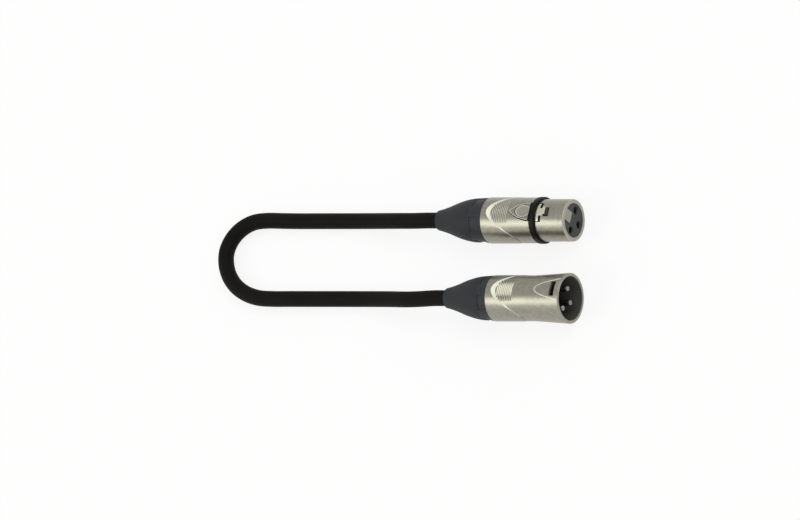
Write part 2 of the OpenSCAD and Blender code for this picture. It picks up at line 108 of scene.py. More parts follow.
def add_node(tree: bpy.types.NodeTree, kind: str, inputs: dict[str | int, object] | None = None,
             **options: object) -> bpy.types.Node:
    """Adds a node, sets its options, and fills or links its inputs.

    Args:
        tree: The tree to add it to.
        kind: The node's type.
        inputs: Value or socket for each input, by its name or number.
        options: The node's own options, such as its operation.

    Returns:
        The new node.
    """
    made = tree.nodes.new(kind)
    for option, value in options.items():
        setattr(made, option, value)
    fill(tree, made, inputs or {})
    return made


# ---- Finishes ----


@dataclass(frozen=True)
class Finish:
    """A surface finish with a little unevenness of colour, gloss and height."""

    name: str
    colour: Colour
    roughness: float
    metallic: float = 0.0
    specular: float = 0.5
    mottle: float = 0.06
    mottle_mm: float = 4.0
    gloss_swing: float = 0.05
    grain_mm: float = 0.25
    grain_depth_mm: float = 0.003
    coat: float = 0.0
    # Colour of worn edges and of painted highlights.
    worn_and_highlight: Colour | None = None
    # Colour of painted shade.
    painted_shade_colour: Colour = (0.035, 0.033, 0.026)

    def material(self) -> bpy.types.Material:
        """Builds the finish as a node material, once.

        Returns:
            The material, shared by every piece that has this finish.
        """
        known = bpy.data.materials.get(self.name)
        if known is not None:
            return known
        made = bpy.data.materials.new(self.name)
        made.use_nodes = True
        tree = made.node_tree
        shader = tree.nodes["Principled BSDF"]
        fill(tree, shader, {"Metallic": self.metallic, "Specular IOR Level": self.specular,
                            "Coat Weight": self.coat})
        where = add_node(tree, "ShaderNodeTexCoord").outputs["Object"]
        cloud = self._noise(tree, where, self.mottle_mm, MOTTLE_DETAIL)
        self._colour(tree, shader, cloud)
        self._gloss(tree, shader, cloud)
        self._grain(tree, shader, where)
        return made

    def _noise(self, tree: bpy.types.NodeTree, where: bpy.types.NodeSocket, size_mm: float,
               detail: float) -> bpy.types.NodeSocket:
        """Adds noise of the given feature size.

        Args:
            tree: The material's nodes.
            where: The coordinates to read.
            size_mm: Size of one patch.
            detail: Octaves of finer detail.

        Returns:
            The noise value, from 0 to 1.
        """
        noise = add_node(tree, "ShaderNodeTexNoise", {
            "Scale": 1.0 / (size_mm * MM), "Detail": detail, "Vector": where})
        return noise.outputs["Fac"]

    def _colour(self, tree: bpy.types.NodeTree, shader: bpy.types.Node,
                cloud: bpy.types.NodeSocket) -> None:
        """Lets the colour drift a little, brightens worn edges and painted highlights, and darkens
        painted shade.

        Args:
            tree: The material's nodes.
            shader: The Principled shader.
            cloud: Noise that drives the drift.
        """
        ramp = add_node(tree, "ShaderNodeValToRGB", {"Fac": cloud})
        low, high = ramp.color_ramp.elements
        low.position, high.position = MOTTLE_BAND
        low.color = (*(c * (1 - self.mottle) for c in self.colour), 1)
        high.color = (*(min(1.0, c * (1 + self.mottle)) for c in self.colour), 1)
        result = ramp.outputs["Color"]
        # A stored value over zero mixes in the worn and highlight colour. One under zero mixes in
        # the painted shade colour.
        if self.worn_and_highlight is not None:
            wear_and_painted_light = add_node(tree, "ShaderNodeAttribute", attribute_name="wear_and_painted_light").outputs["Fac"]
            shade_share = add_node(tree, "ShaderNodeMath", {0: wear_and_painted_light, 1: -1.0}, operation="MULTIPLY")
            for share, colour in ((wear_and_painted_light, self.worn_and_highlight), (shade_share.outputs["Value"], self.painted_shade_colour)):
                mix = add_node(tree, "ShaderNodeMix", {
                    "Factor": share, "A": result, "B": (*colour, 1)}, data_type="RGBA")
                result = mix.outputs["Result"]
        tree.links.new(result, shader.inputs["Base Color"])

    def _gloss(self, tree: bpy.types.NodeTree, shader: bpy.types.Node,
               cloud: bpy.types.NodeSocket) -> None:
        """Varies the roughness round its middle value.

        Args:
            tree: The material's nodes.
            shader: The Principled shader.
            cloud: Noise that drives the variation.
        """
        span = add_node(tree, "ShaderNodeMapRange", {
            "Value": cloud, "To Min": self.roughness - self.gloss_swing,
            "To Max": self.roughness + self.gloss_swing})
        tree.links.new(span.outputs["Result"], shader.inputs["Roughness"])

    def _grain(self, tree: bpy.types.NodeTree, shader: bpy.types.Node,
               where: bpy.types.NodeSocket) -> bpy.types.Node:
        """Adds the fine texture of a blasted, moulded or extruded surface.

        Args:
            tree: The material's nodes.
            shader: The Principled shader.
            where: The coordinates to read.

        Returns:
            The grain's bump, which may lie over another one.
        """
        height = self._noise(tree, where, self.grain_mm, GRAIN_DETAIL)
        grain = add_node(tree, "ShaderNodeBump", {
            "Distance": self.grain_depth_mm * MM, "Height": height})
        tree.links.new(grain.outputs["Normal"], shader.inputs["Normal"])
        return grain


@dataclass(frozen=True)
class ExtrudedJacket(Finish):
    """Cable jacket: matte, with the faint lay of the cores showing through along it."""

    lay_mm: float = 22.0
    lay_depth_mm: float = 0.012
    lay_cores: float = 2.0
    wave_scale: float = 0.5

    def _grain(self, tree: bpy.types.NodeTree, shader: bpy.types.Node,
               where: bpy.types.NodeSocket) -> bpy.types.Node:
        """Adds the jacket's grain over the lay of the cores, which follows its own map.

        Args:
            tree: The material's nodes.
            shader: The Principled shader.
            where: The coordinates to read.

        Returns:
            The grain's bump.
        """
        flat = add_node(tree, "ShaderNodeUVMap", uv_map="along")
        turn = add_node(tree, "ShaderNodeMapping", {
            "Vector": flat.outputs["UV"],
            "Scale": (1.0 / (self.lay_mm * MM), self.lay_cores, 1.0)})
        wave = add_node(tree, "ShaderNodeTexWave", {
            "Vector": turn.outputs["Vector"], "Scale": self.wave_scale},
            bands_direction="DIAGONAL")
        lay = add_node(tree, "ShaderNodeBump", {
            "Distance": self.lay_depth_mm * MM, "Height": wave.outputs["Fac"]})
        grain = super()._grain(tree, shader, where)
        tree.links.new(lay.outputs["Normal"], grain.inputs["Normal"])
        return grain


NICKEL = Finish("satin_nickel", (0.315, 0.298, 0.252), 0.33, metallic=1.0, mottle=0.12,
                mottle_mm=1.3, gloss_swing=0.07, grain_mm=0.55, grain_depth_mm=0.005,
                worn_and_highlight=(0.86, 0.85, 0.72))
# Bright nickel that paints a highlight on the plug's raised outline.
HIGHLIT_NICKEL = Finish("nickel_painted_highlight", (0.80, 0.79, 0.70), 0.28, metallic=1.0, mottle=0.2,
                  mottle_mm=0.7)
# Dark nickel that paints shade on the walls of slots and of the lever.
SHADED_WALL = Finish("nickel_painted_shade", (0.05, 0.046, 0.036), 0.5, metallic=0.6, mottle=0.2)
SHELL_BORE = Finish("dark_bore", (0.075, 0.073, 0.065), 0.3, mottle=0.15)
SOFT_RING = Finish("soft_ring", (0.006, 0.006, 0.007), 0.4, specular=0.12, grain_mm=0.2)
JACKET = ExtrudedJacket("cable_jacket", (0.0055, 0.0049, 0.0042), 0.6, specular=0.08,
                        grain_mm=0.35, grain_depth_mm=0.01, mottle=0.2)
BOOT = Finish("boot_rubber", (0.027, 0.030, 0.033), 0.6, specular=0.18, grain_mm=0.22,
              grain_depth_mm=0.006, mottle=0.08)
BAND = Finish("grip_band_plastic", (0.026, 0.029, 0.034), 0.5, specular=0.22, grain_mm=0.18,
              grain_depth_mm=0.005, mottle=0.08)
INSERT = Finish("insert_plastic", (0.018, 0.020, 0.021), 0.45, specular=0.4, grain_mm=0.18)
CONTACT = Finish("plated_contact", (0.27, 0.262, 0.24), 0.34, metallic=1.0, mottle=0.1)
# Darkened contacts that paint the shade inside the socket's holes.
SOCKET_CONTACT = Finish("contact_painted_shade", (0.16, 0.155, 0.13), 0.5, metallic=1.0, mottle=0.2)
STEEL = Finish("spring_steel", (0.55, 0.56, 0.57), 0.28, metallic=1.0)
NYLON = Finish("chuck_nylon", (0.72, 0.71, 0.66), 0.5)
RED_CORE = Finish("red_insulation", (0.45, 0.02, 0.015), 0.4)
WHITE_CORE = Finish("white_insulation", (0.7, 0.7, 0.68), 0.4)
COPPER = Finish("tinned_shield", (0.62, 0.36, 0.22), 0.32, metallic=1.0, mottle=0.15,
                mottle_mm=0.6)


# ---- Mesh making ----


@dataclass(frozen=True)
class Corner:
    """A corner of a shell's outline: its station, radius, rounding, and its wear and painted
    light.
    """

    x: float
    r: float
    ease: float = 0.0
    wear_and_painted_light: float = 0.0


@dataclass(frozen=True)
class Place:
    """Where a connector lies: the centre of its front face, in millimetres."""

    x: float
    y: float
    z: float

    def at(self, x: float, y: float, z: float) -> Vector:
        """Turns a place in the connector's axes into metres in the model's frame."""
        return Vector((self.x + x, self.y + y, self.z + z)) * MM

    def round(self, x: float, r: float, angle: float) -> Vector:
        """Turns a station, radius and angle from the latch side into a point in metres."""
        return self.at(x, r * math.sin(angle), r * math.cos(angle))

    def local(self, point: Vector) -> Vector:
        """Turns a point in metres into a place in the connector's axes, in millimetres."""
        return point / MM - Vector(astuple(self))


def rounded(corners: Sequence[Corner], steps: int = 4) -> list[Corner]:
    """Rounds each corner of a closed outline with a short curve.

    Args:
        corners: The outline's corners in order.
        steps: Segments in each rounded corner.

    Returns:
        The outline's points; a corner without rounding stays one point.
    """
    points: list[Corner] = []
    for i, corner in enumerate(corners):
        if corner.ease <= 0:
            points.append(corner)
            continue
        ends = []
        for other in (corners[i - 1], corners[(i + 1) % len(corners)]):
            gap = math.hypot(other.x - corner.x, other.r - corner.r)
            reach = min(corner.ease, EASE_SHARE * gap) / max(gap, 1e-9)
            ends.append(Corner(corner.x + (other.x - corner.x) * reach,
                               corner.r + (other.r - corner.r) * reach,
                               0.0, min(corner.wear_and_painted_light, other.wear_and_painted_light, key=abs)))
        before, after = ends
        for k in range(steps + 1):
            t = k / steps
            a, b, c = (1 - t) ** 2, 2 * t * (1 - t), t * t
            points.append(Corner(a * before.x + b * corner.x + c * after.x,
                                 a * before.r + b * corner.r + c * after.r,
                                 0.0, a * before.wear_and_painted_light + b * corner.wear_and_painted_light + c * after.wear_and_painted_light))
    return points


def new_piece(name: str, points: Sequence[Vector], faces: Sequence[Sequence[int]],
              finish: Finish, sharp_deg: float = SHARP_DEG) -> bpy.types.Object:
    """Makes a mesh object with outward faces, smooth except at sharp edges.

    Args:
        name: The piece's name.
        points: Vertices in metres, in the model's frame.
        faces: Vertex numbers of each face.
        finish: The piece's finish.
        sharp_deg: Angle between faces past which an edge stays sharp.

    Returns:
        The new object, linked to the scene.
    """
    mesh = bpy.data.meshes.new(name)
    mesh.from_pydata([tuple(p) for p in points], [], [tuple(f) for f in faces])
    work = bmesh.new()
    work.from_mesh(mesh)
    bmesh.ops.remove_doubles(work, verts=work.verts, dist=MERGE_M)
    bmesh.ops.recalc_face_normals(work, faces=work.faces)
    work.to_mesh(mesh)
    work.free()
    mesh.shade_smooth()
    mesh.set_sharp_from_angle(angle=math.radians(sharp_deg))
    mesh.materials.append(finish.material())
    return add_object(name, mesh)


def lofted(name: str, loops: Sequence[Sequence[Vector]], finish: Finish,
           sharp_deg: float = SHARP_DEG) -> bpy.types.Object:
    """Skins a row of closed loops, each with as many points, and caps both ends.

    Args:
        name: The piece's name.
        loops: Points of each loop in metres, in the model's frame.
        finish: The piece's finish.
        sharp_deg: Angle between faces past which an edge stays sharp.

    Returns:
        The new object.
    """
    n = len(loops[0])
    points = [point for loop in loops for point in loop]
    faces: list[Sequence[int]] = [range(n), range(len(points) - n, len(points))]
    for here in range(0, len(points) - n, n):
        faces += [(here + k, here + (k + 1) % n, here + n + (k + 1) % n, here + n + k)
                  for k in range(n)]
    return new_piece(name, points, faces, finish, sharp_deg)


def turned(name: str, place: Place, outline: Callable[[float], Sequence[Corner]],
           finish: Finish, sides: int = 180, closed: bool = True) -> bpy.types.Object:
    """Makes a shell from an outline that may change with the angle round the axis.

    Args:
        name: The piece's name.
        place: The connector's place.
        outline: Gives the outline's points at an angle in radians, always as many.
        finish: The piece's finish.
        sides: Columns round the axis.
        closed: Whether the outline joins its own start, as a hollow piece's does.

    Returns:
        The new object.
    """
    columns = [outline(2 * math.pi * j / sides) for j in range(sides)]
    rows = len(columns[0])
    points = [place.round(c.x, c.r, 2 * math.pi * j / sides)
              for j, column in enumerate(columns) for c in column]
    faces = []
    for j in range(sides):
        here, there = j * rows, (j + 1) % sides * rows
        for i in range(rows if closed else rows - 1):
            k = (i + 1) % rows
            faces.append((here + i, here + k, there + k, there + i))
    piece = new_piece(name, points, faces, finish)
    if any(c.wear_and_painted_light for column in columns for c in column):
        mark_wear_and_light(piece, points, [c.wear_and_painted_light for column in columns for c in column])
    return piece


def mark_wear_and_light(piece: bpy.types.Object, points: Sequence[Vector], wear_and_painted_light: Sequence[float]) -> None:
    """Stores each vertex's wear and painted light, for finishes that brighten worn edges and
    painted highlights and darken painted shade.

    Args:
        piece: The piece to mark.
        points: The places the wear was worked out for.
        wear_and_painted_light: Wear and painted light at each of them, from -1 for painted shade
            to 1 for bright metal, where worn and where a highlight is painted.
    """
    known = {tuple(round(c, PLACE_DIGITS) for c in p): w for p, w in zip(points, wear_and_painted_light)}
    layer = piece.data.attributes.new("wear_and_painted_light", "FLOAT", "POINT")
    for vertex, value in zip(piece.data.vertices, layer.data):
        value.value = known.get(tuple(round(c, PLACE_DIGITS) for c in vertex.co), 0.0)


def mark_by_place(piece: bpy.types.Object, place: Place, wear_and_painted_light: Callable[[Vector], float]) -> None:
    """Marks a finished piece's wear and painted light by where its vertices lie.

    Args:
        piece: The piece to mark.
        place: The connector's place.
        wear_and_painted_light: Gives the wear and painted light at a place in the connector's
            axes, in millimetres.
    """
    spots = [vertex.co.copy() for vertex in piece.data.vertices]
    mark_wear_and_light(piece, spots, [wear_and_painted_light(place.local(spot)) for spot in spots])


def prism(name: str, outline: Sequence[tuple[float, float]], place: Place, z0: float,
          z1: float) -> bpy.types.Object:
    """Makes a plain upright prism, used to cut a slot.

    Args:
        name: Name of the cutter.
        outline: Points (x, y) in the connector's axes.
        place: The connector's place.
        z0: Height of the bottom.
        z1: Height of the top.

    Returns:
        The cutter.
    """
    return lofted(name, [[place.at(x, y, z) for x, y in outline] for z in (z0, z1)], NICKEL)


class Joining(Enum):
    """Ways to combine two solids into one."""

    CUT = "DIFFERENCE"
    ADD = "UNION"


def combine(piece: bpy.types.Object, other: bpy.types.Object, how: Joining) -> None:
    """Cuts one solid out of another or adds it, and removes the other object.

    Args:
        piece: The solid that stays.
        other: The solid that is cut away or added.
        how: Whether it is cut away or added.
    """
    step = piece.modifiers.new("combine", "BOOLEAN")
    step.operation = how.value
    step.solver = "EXACT"
    step.object = other
    bake(piece)
    bpy.data.objects.remove(other)
    piece.data.set_sharp_from_angle(angle=math.radians(SHARP_DEG))


def shade_slot_walls(shell: bpy.types.Object, place: Place, slot: Sequence[tuple[float, float]]) -> None:
    """Paints shade on the upright walls of a slot on the latch side with a dark nickel.

    Args:
        shell: The shell that has the slot.
        place: The connector's place.
        slot: Outline of the slot in the connector's axes.
    """
    shell.data.materials.append(SHADED_WALL.material())
    index = len(shell.data.materials) - 1
    low = [min(p[k] for p in slot) - WALL_REACH for k in (0, 1)]
    high = [max(p[k] for p in slot) + WALL_REACH for k in (0, 1)]
    for face in shell.data.polygons:
        spot = place.local(face.center)
        upright = abs(face.normal.z) < UPRIGHT and spot.z > 0
        if upright and all(low[k] < spot[k] < high[k] for k in (0, 1)):
            face.material_index = index


def bake(piece: bpy.types.Object) -> None:
    """Turns a piece with live modifiers into a plain mesh.

    Args:
        piece: The piece to make plain.
    """
    bpy.context.view_layer.update()
    seen = piece.evaluated_get(bpy.context.evaluated_depsgraph_get())
    plain = bpy.data.meshes.new_from_object(seen)
    piece.modifiers.clear()
    piece.data = plain


def settle(piece: bpy.types.Object, body: str = LEAD, nodes: Iterable[str] = ()) -> None:
    """Hands a finished piece to the frame and reports it.

    Args:
        piece: The finished piece.
        body: The body it rides on.
        nodes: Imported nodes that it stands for.
    """
    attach(piece, body)
    for node in nodes:
        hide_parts(node)
    LOG.info("%s: %d faces", piece.name, len(piece.data.polygons))


# ---- Repeating parts, made by geometry nodes ----


@dataclass
class NodeRecipe:
    """A geometry node tree under construction, with named inputs for its sizes."""

    name: str
    tree: bpy.types.NodeTree = field(init=False)
    sizes: dict[str, object] = field(default_factory=dict)

    def __post_init__(self) -> None:
        """Starts the tree with an input and an output for geometry."""
        self.tree = bpy.data.node_groups.new(self.name, "GeometryNodeTree")
        for way in ("INPUT", "OUTPUT"):
            self.tree.interface.new_socket(
                "Geometry", in_out=way, socket_type="NodeSocketGeometry")
        self.start = self.tree.nodes.new("NodeGroupInput")
        self.end = self.tree.nodes.new("NodeGroupOutput")

    def size(self, name: str, kind: str, value: object) -> bpy.types.NodeSocket:
        """Adds a named input and remembers its value.

        Args:
            name: Label of the input.
            kind: Socket type, such as NodeSocketFloat.
            value: The value that the piece uses.

        Returns:
            The input's socket inside the tree.
        """
        self.tree.interface.new_socket(name, in_out="INPUT", socket_type=kind)
        self.sizes[name] = value
        return self.start.outputs[name]

    def node(self, kind: str, **inputs: object) -> bpy.types.Node:
        """Adds a node and fills or links its inputs.

        Args:
            kind: The node's type.
            inputs: Value or socket for each input, with spaces written as underscores.

        Returns:
            The new node.
        """
        named = {label.replace("_", " "): value for label, value in inputs.items()}
        return add_node(self.tree, kind, named)

    def build(self, geometry: bpy.types.NodeSocket, finish: Finish, name: str) -> bpy.types.Object:
        """Realises the tree's geometry, gives it its finish and makes it a plain mesh.

        Args:
            geometry: The tree's result before realising.
            finish: The finish to set.
            name: The piece's name.

        Returns:
            A plain mesh object.
        """
        real = self.node("GeometryNodeRealizeInstances", Geometry=geometry)
        material = self.size("Finish", "NodeSocketMaterial", finish.material())
        dressed = self.node("GeometryNodeSetMaterial", Geometry=real.outputs["Geometry"],
                            Material=material)
        self.tree.links.new(dressed.outputs["Geometry"], self.end.inputs["Geometry"])
        piece = add_object(name, bpy.data.meshes.new(name))
        step = piece.modifiers.new(self.name, "NODES")
        step.node_group = self.tree
        for item in self.tree.interface.items_tree:
            if item.in_out == "INPUT" and item.name in self.sizes:
                step[item.identifier] = self.sizes[item.name]
        bake(piece)
        return piece


@dataclass
class GripRibs:
    """Rows of low round ribs that cross the thumb dip."""

    rows: int = 9
    pitch: float = 0.8
    width: float = 0.42
    height: float = 0.2
    radius: float = 8.9
    arc_deg: float = 58.0
    start: float = 2.57
    bow_points: int = 25
    section_points: int = 10

    def build(self, name: str, dip: Matrix) -> bpy.types.Object:
        """Makes the ribs and sets them in the dip.

        Args:
            name: The piece's name.
            dip: From the dip's axes, with x along its cylinder, to the model's frame.

        Returns:
            The ribs as one piece.
        """
        recipe = NodeRecipe("Grip ribs")
        rows = recipe.size("Rows", "NodeSocketInt", self.rows)
        pitch = recipe.size("Pitch", "NodeSocketFloat", self.pitch * MM)
        radius = recipe.size("Radius", "NodeSocketFloat",
                             (self.radius + self.height - self.width / 2) * MM)
        arc = recipe.size("Arc", "NodeSocketFloat", math.radians(self.arc_deg))
        half = recipe.size("Rib radius", "NodeSocketFloat", self.width / 2 * MM)
        back = add_node(recipe.tree, "ShaderNodeMath", {0: arc, 1: -0.5}, operation="MULTIPLY")
        bow = recipe.node("GeometryNodeCurveArc", Resolution=self.bow_points, Radius=radius,
                          Start_Angle=back.outputs[0], Sweep_Angle=arc)
        section = recipe.node("GeometryNodeCurvePrimitiveCircle",
                              Resolution=self.section_points, Radius=half)
        rib = recipe.node("GeometryNodeCurveToMesh", Curve=bow.outputs["Curve"],
                          Profile_Curve=section.outputs["Curve"], Fill_Caps=True)
        smooth = recipe.node("GeometryNodeSetShadeSmooth", Geometry=rib.outputs["Mesh"])
        step = recipe.node("ShaderNodeCombineXYZ", Z=pitch)
        line = recipe.node("GeometryNodeMeshLine", Count=rows, Offset=step.outputs["Vector"])
        copies = recipe.node("GeometryNodeInstanceOnPoints", Points=line.outputs["Mesh"],
                             Instance=smooth.outputs["Geometry"])
        ribs = recipe.build(copies.outputs["Instances"], NICKEL, name)
        stand = Matrix(((0, 0, 1, self.start * MM), (0, -1, 0, 0), (1, 0, 0, 0), (0, 0, 0, 1)))
        ribs.data.transform(dip @ stand)
        return ribs


@dataclass
class RaisedLine:
    """A low round line that follows a path on a shell."""

    width: float = 0.4
    section_points: int = 12

    def build(self, name: str, path: Sequence[Vector]) -> bpy.types.Object:
        """Sweeps the line along its path.

        Args:
            name: The piece's name.
            path: Points on the shell's surface, in metres.

        Returns:
            The line as one piece.
        """
        rail_mesh = bpy.data.meshes.new(name + "_rail")
        links = [(i, i + 1) for i in range(len(path) - 1)]
        rail_mesh.from_pydata([tuple(p) for p in path], links, [])
        rail = add_object(name + "_rail", rail_mesh)
        recipe = NodeRecipe("Raised line")
        carrier = recipe.size("Rail", "NodeSocketObject", rail)
        half = recipe.size("Line radius", "NodeSocketFloat", self.width / 2 * MM)
        info = recipe.node("GeometryNodeObjectInfo", Object=carrier)
        curve = recipe.node("GeometryNodeMeshToCurve", Mesh=info.outputs["Geometry"])
        section = recipe.node("GeometryNodeCurvePrimitiveCircle",
                              Resolution=self.section_points, Radius=half)
        sweep = recipe.node("GeometryNodeCurveToMesh", Curve=curve.outputs["Curve"],
                            Profile_Curve=section.outputs["Curve"], Fill_Caps=True)
        smooth = recipe.node("GeometryNodeSetShadeSmooth", Geometry=sweep.outputs["Mesh"])
        # The line is given a painted highlight.
        line = recipe.build(smooth.outputs["Geometry"], HIGHLIT_NICKEL, name)
        bpy.data.objects.remove(rail)
        return line


# ---- Connector shells ----


@dataclass
class SweptShell:
    """What both connectors' shells share: rear sleeve, swept bevel, thumb dip and ribs."""

    place: Place
    length: float
    waist_r: float = 8.55
    sleeve_r: float = 8.65
    bore_r: float = 7.75
    apex_ahead: float = 2.35
    sweep: float = 12.0
    bevel_w: float = 1.55
    bevel_taper: float = 2.9
    bevel_least: float = 0.2
    # Painted highlight along the swept bevel's edge on the upper side, turning to painted shade
    # further round.
    bright_until: float = 0.74
    bright_fade: float = 12.0
    edge_shade: float = -0.8
    foot_bright: float = 1.2
    foot_least: float = 0.5
    bore_edge: float = 0.1
    rear_edge: float = 0.18
    rear_wear: float = 0.8
    bevel_edge: float = 0.07
    foot_edge: float = 0.06
    dip_depth: float = 0.6
    dip_rise: float = 0.1
    dip_soft: float = 0.06
    dip_side: float = 0.1
    dip_l: float = 12.0
    dip_r: float = 8.9
    wall_samples: int = 46
    # Painted highlight on the dip near the latch side, under the ribs.
    painted_highlight: float = 0.0
    highlight_from: float = 2.2
    highlight_to: float = 9.6
    highlight_fade: float = 0.5
    highlight_arc_deg: float = 17.0
    highlight_fade_deg: float = 5.0
    # Painted highlight on the ribs near the latch side.
    rib_highlight: float = 0.38
    rib_highlight_deg: float = 36.0
    rib_fade_deg: float = 6.0

    @property
    def apex(self) -> float:
        """Station where the swept edge comes furthest back, on the latch side."""
        return self.apex_ahead - self.length

    @property
    def dip_slope(self) -> float:
        """Rise of the dip's floor for each millimetre ahead of the apex."""
        return (self.dip_depth + self.dip_rise) / self.dip_l

    def body_r(self, x: float) -> float:
        """Radius of the plain body at a station."""
        return self.waist_r

    def skin_r(self, x: float, angle: float) -> float:
        """Radius of the body with its thumb dip.

        Args:
            x: Station along the axis.
            angle: Angle from the latch side.

        Returns:
            The lower of body and dip, with the join between them eased.
        """
        body = self.body_r(x)
        if math.cos(angle) < self.dip_side or x > self.apex + self.dip_l:
            return body
        centre = self.waist_r - self.dip_depth + self.dip_slope * (x - self.apex) - self.dip_r
        inside = self.dip_r ** 2 - (centre * math.sin(angle)) ** 2
        dip = centre * math.cos(angle) + math.sqrt(inside)
        blend = clamp(0.5 + 0.5 * (dip - body) / self.dip_soft)
        return dip + (body - dip) * blend - self.dip_soft * blend * (1 - blend)

    def rear(self, angle: float) -> list[Corner]:
        """Outline from the rear bore over the sleeve to the foot of the bevel.

        Args:
            angle: Angle from the latch side.

        Returns:
            The corners up to the bevel's inner edge.
        """
        open_up = 1 - math.cos(angle)
        edge = self.apex + self.sweep * math.sin(angle) ** 2
        foot = edge + max(self.bevel_least, self.bevel_w - self.bevel_taper * open_up)
        # The bevel's edge and foot get a painted highlight near the latch side and painted shade
        # further round.
        edge_light = clamp((self.bright_until - open_up) * self.bright_fade, self.edge_shade)
        foot_light = edge_light * clamp(self.foot_bright - open_up, self.foot_least)
        return [Corner(-self.length, self.bore_r, self.bore_edge),
                Corner(-self.length, self.sleeve_r, self.rear_edge, self.rear_wear),
                Corner((edge - self.length) / 2, self.sleeve_r),
                Corner(edge, self.sleeve_r, self.bevel_edge, edge_light),
                Corner(foot, self.skin_r(foot, angle), self.foot_edge, foot_light)]

    def body(self, start: float, end: float, angle: float) -> list[Corner]:
        """Samples the body from the bevel's foot to its front.

        Args:
            start: Station of the bevel's foot.
            end: Station where the body ends.
            angle: Angle from the latch side.

        Returns:
            Points of the body's wall.
        """
        off = math.degrees(math.atan2(math.sin(angle), math.cos(angle)))
        # Painted highlight near the latch side, along the dip.
        across = clamp((self.highlight_arc_deg - abs(off)) / self.highlight_fade_deg)
        wall = []
        for k in range(1, self.wall_samples):
            x = start + (end - start) * k / self.wall_samples
            inward = min(x - self.apex - self.highlight_from, self.apex + self.highlight_to - x)
            along = clamp(inward / self.highlight_fade)
            wall.append(Corner(x, self.skin_r(x, angle), 0.0, self.painted_highlight * across * along))
        return wall

    def ribs(self, name: str) -> bpy.types.Object:
        """Makes the grip ribs in the dip, with a painted highlight in the middle.

        Args:
            name: The piece's name.

        Returns:
            The ribs as one piece.
        """
        piece = GripRibs().build(name, self.dip_frame())
        mark_by_place(piece, self.place, self.rib_highlight_at)
        return piece

    def rib_highlight_at(self, spot: Vector) -> float:
        """Tells how much painted highlight the ribs get at a place in the connector's axes."""
        off = abs(math.degrees(math.atan2(spot.y, spot.z)))
        return self.rib_highlight * clamp((self.rib_highlight_deg - off) / self.rib_fade_deg)

    def dip_frame(self) -> Matrix:
        """Places the axes of the thumb dip, with x along its cylinder.

        Returns:
            From the dip's axes, which start at the swept edge's apex, to the model's frame.
        """
        top = Matrix.Translation(self.place.at(self.apex, 0, self.waist_r - self.dip_depth))
        tilt = Matrix.Rotation(-math.atan(self.dip_slope), 4, "Y")
        return top @ tilt @ Matrix.Translation(Vector((0, 0, -self.dip_r)) * MM)


@dataclass(frozen=True)
class LeverPlan:
    """Plan of the latch lever: pointed tongue, wide shoulders and narrow tooth."""

    width: float = 7.0
    tongue_l: float = 9.0
    tongue_front: float = -14.7
    shoulder_front: float = -10.9
    tooth_w: float = 3.0
    tooth_front: float = -6.9
    steps: int = 40

    def half_width(self, x: float, grow: float = 0.0) -> float:
        """Half the width of the tongue and shoulders at a station.

        Args:
            x: Station along the axis.
            grow: Clearance added all round.

        Returns:
            Half the width, which shrinks to nothing at the tongue's tip.
        """
        half, length = self.width / 2 + grow, self.tongue_l + grow
        radius = (half * half + length * length) / (2 * half)
        behind = max(0.0, self.tongue_front - x)
        return math.sqrt(max(0.0, radius ** 2 - behind ** 2)) - radius + half

    def outline(self, grow: float, ahead: float) -> list[tuple[float, float]]:
        """Outline of the channel for the lever.

        Args:
            grow: Clearance added all round.
            ahead: Clearance ahead of the shoulders.

        Returns:
            Points (x, y) round the channel, from the tip of the tongue.
        """
        length = self.tongue_l + grow
        stations = [self.tongue_front - length * (1 - k / self.steps)
                    for k in range(self.steps + 1)]
        side = [(x, self.half_width(x, grow)) for x in stations]
        half, tooth = self.width / 2 + grow, self.tooth_w / 2 + grow
        side += [(self.shoulder_front + ahead, half), (self.shoulder_front + ahead, tooth),
                 (self.tooth_front + grow, tooth)]
        return side + [(x, -y) for x, y in reversed(side[1:])]


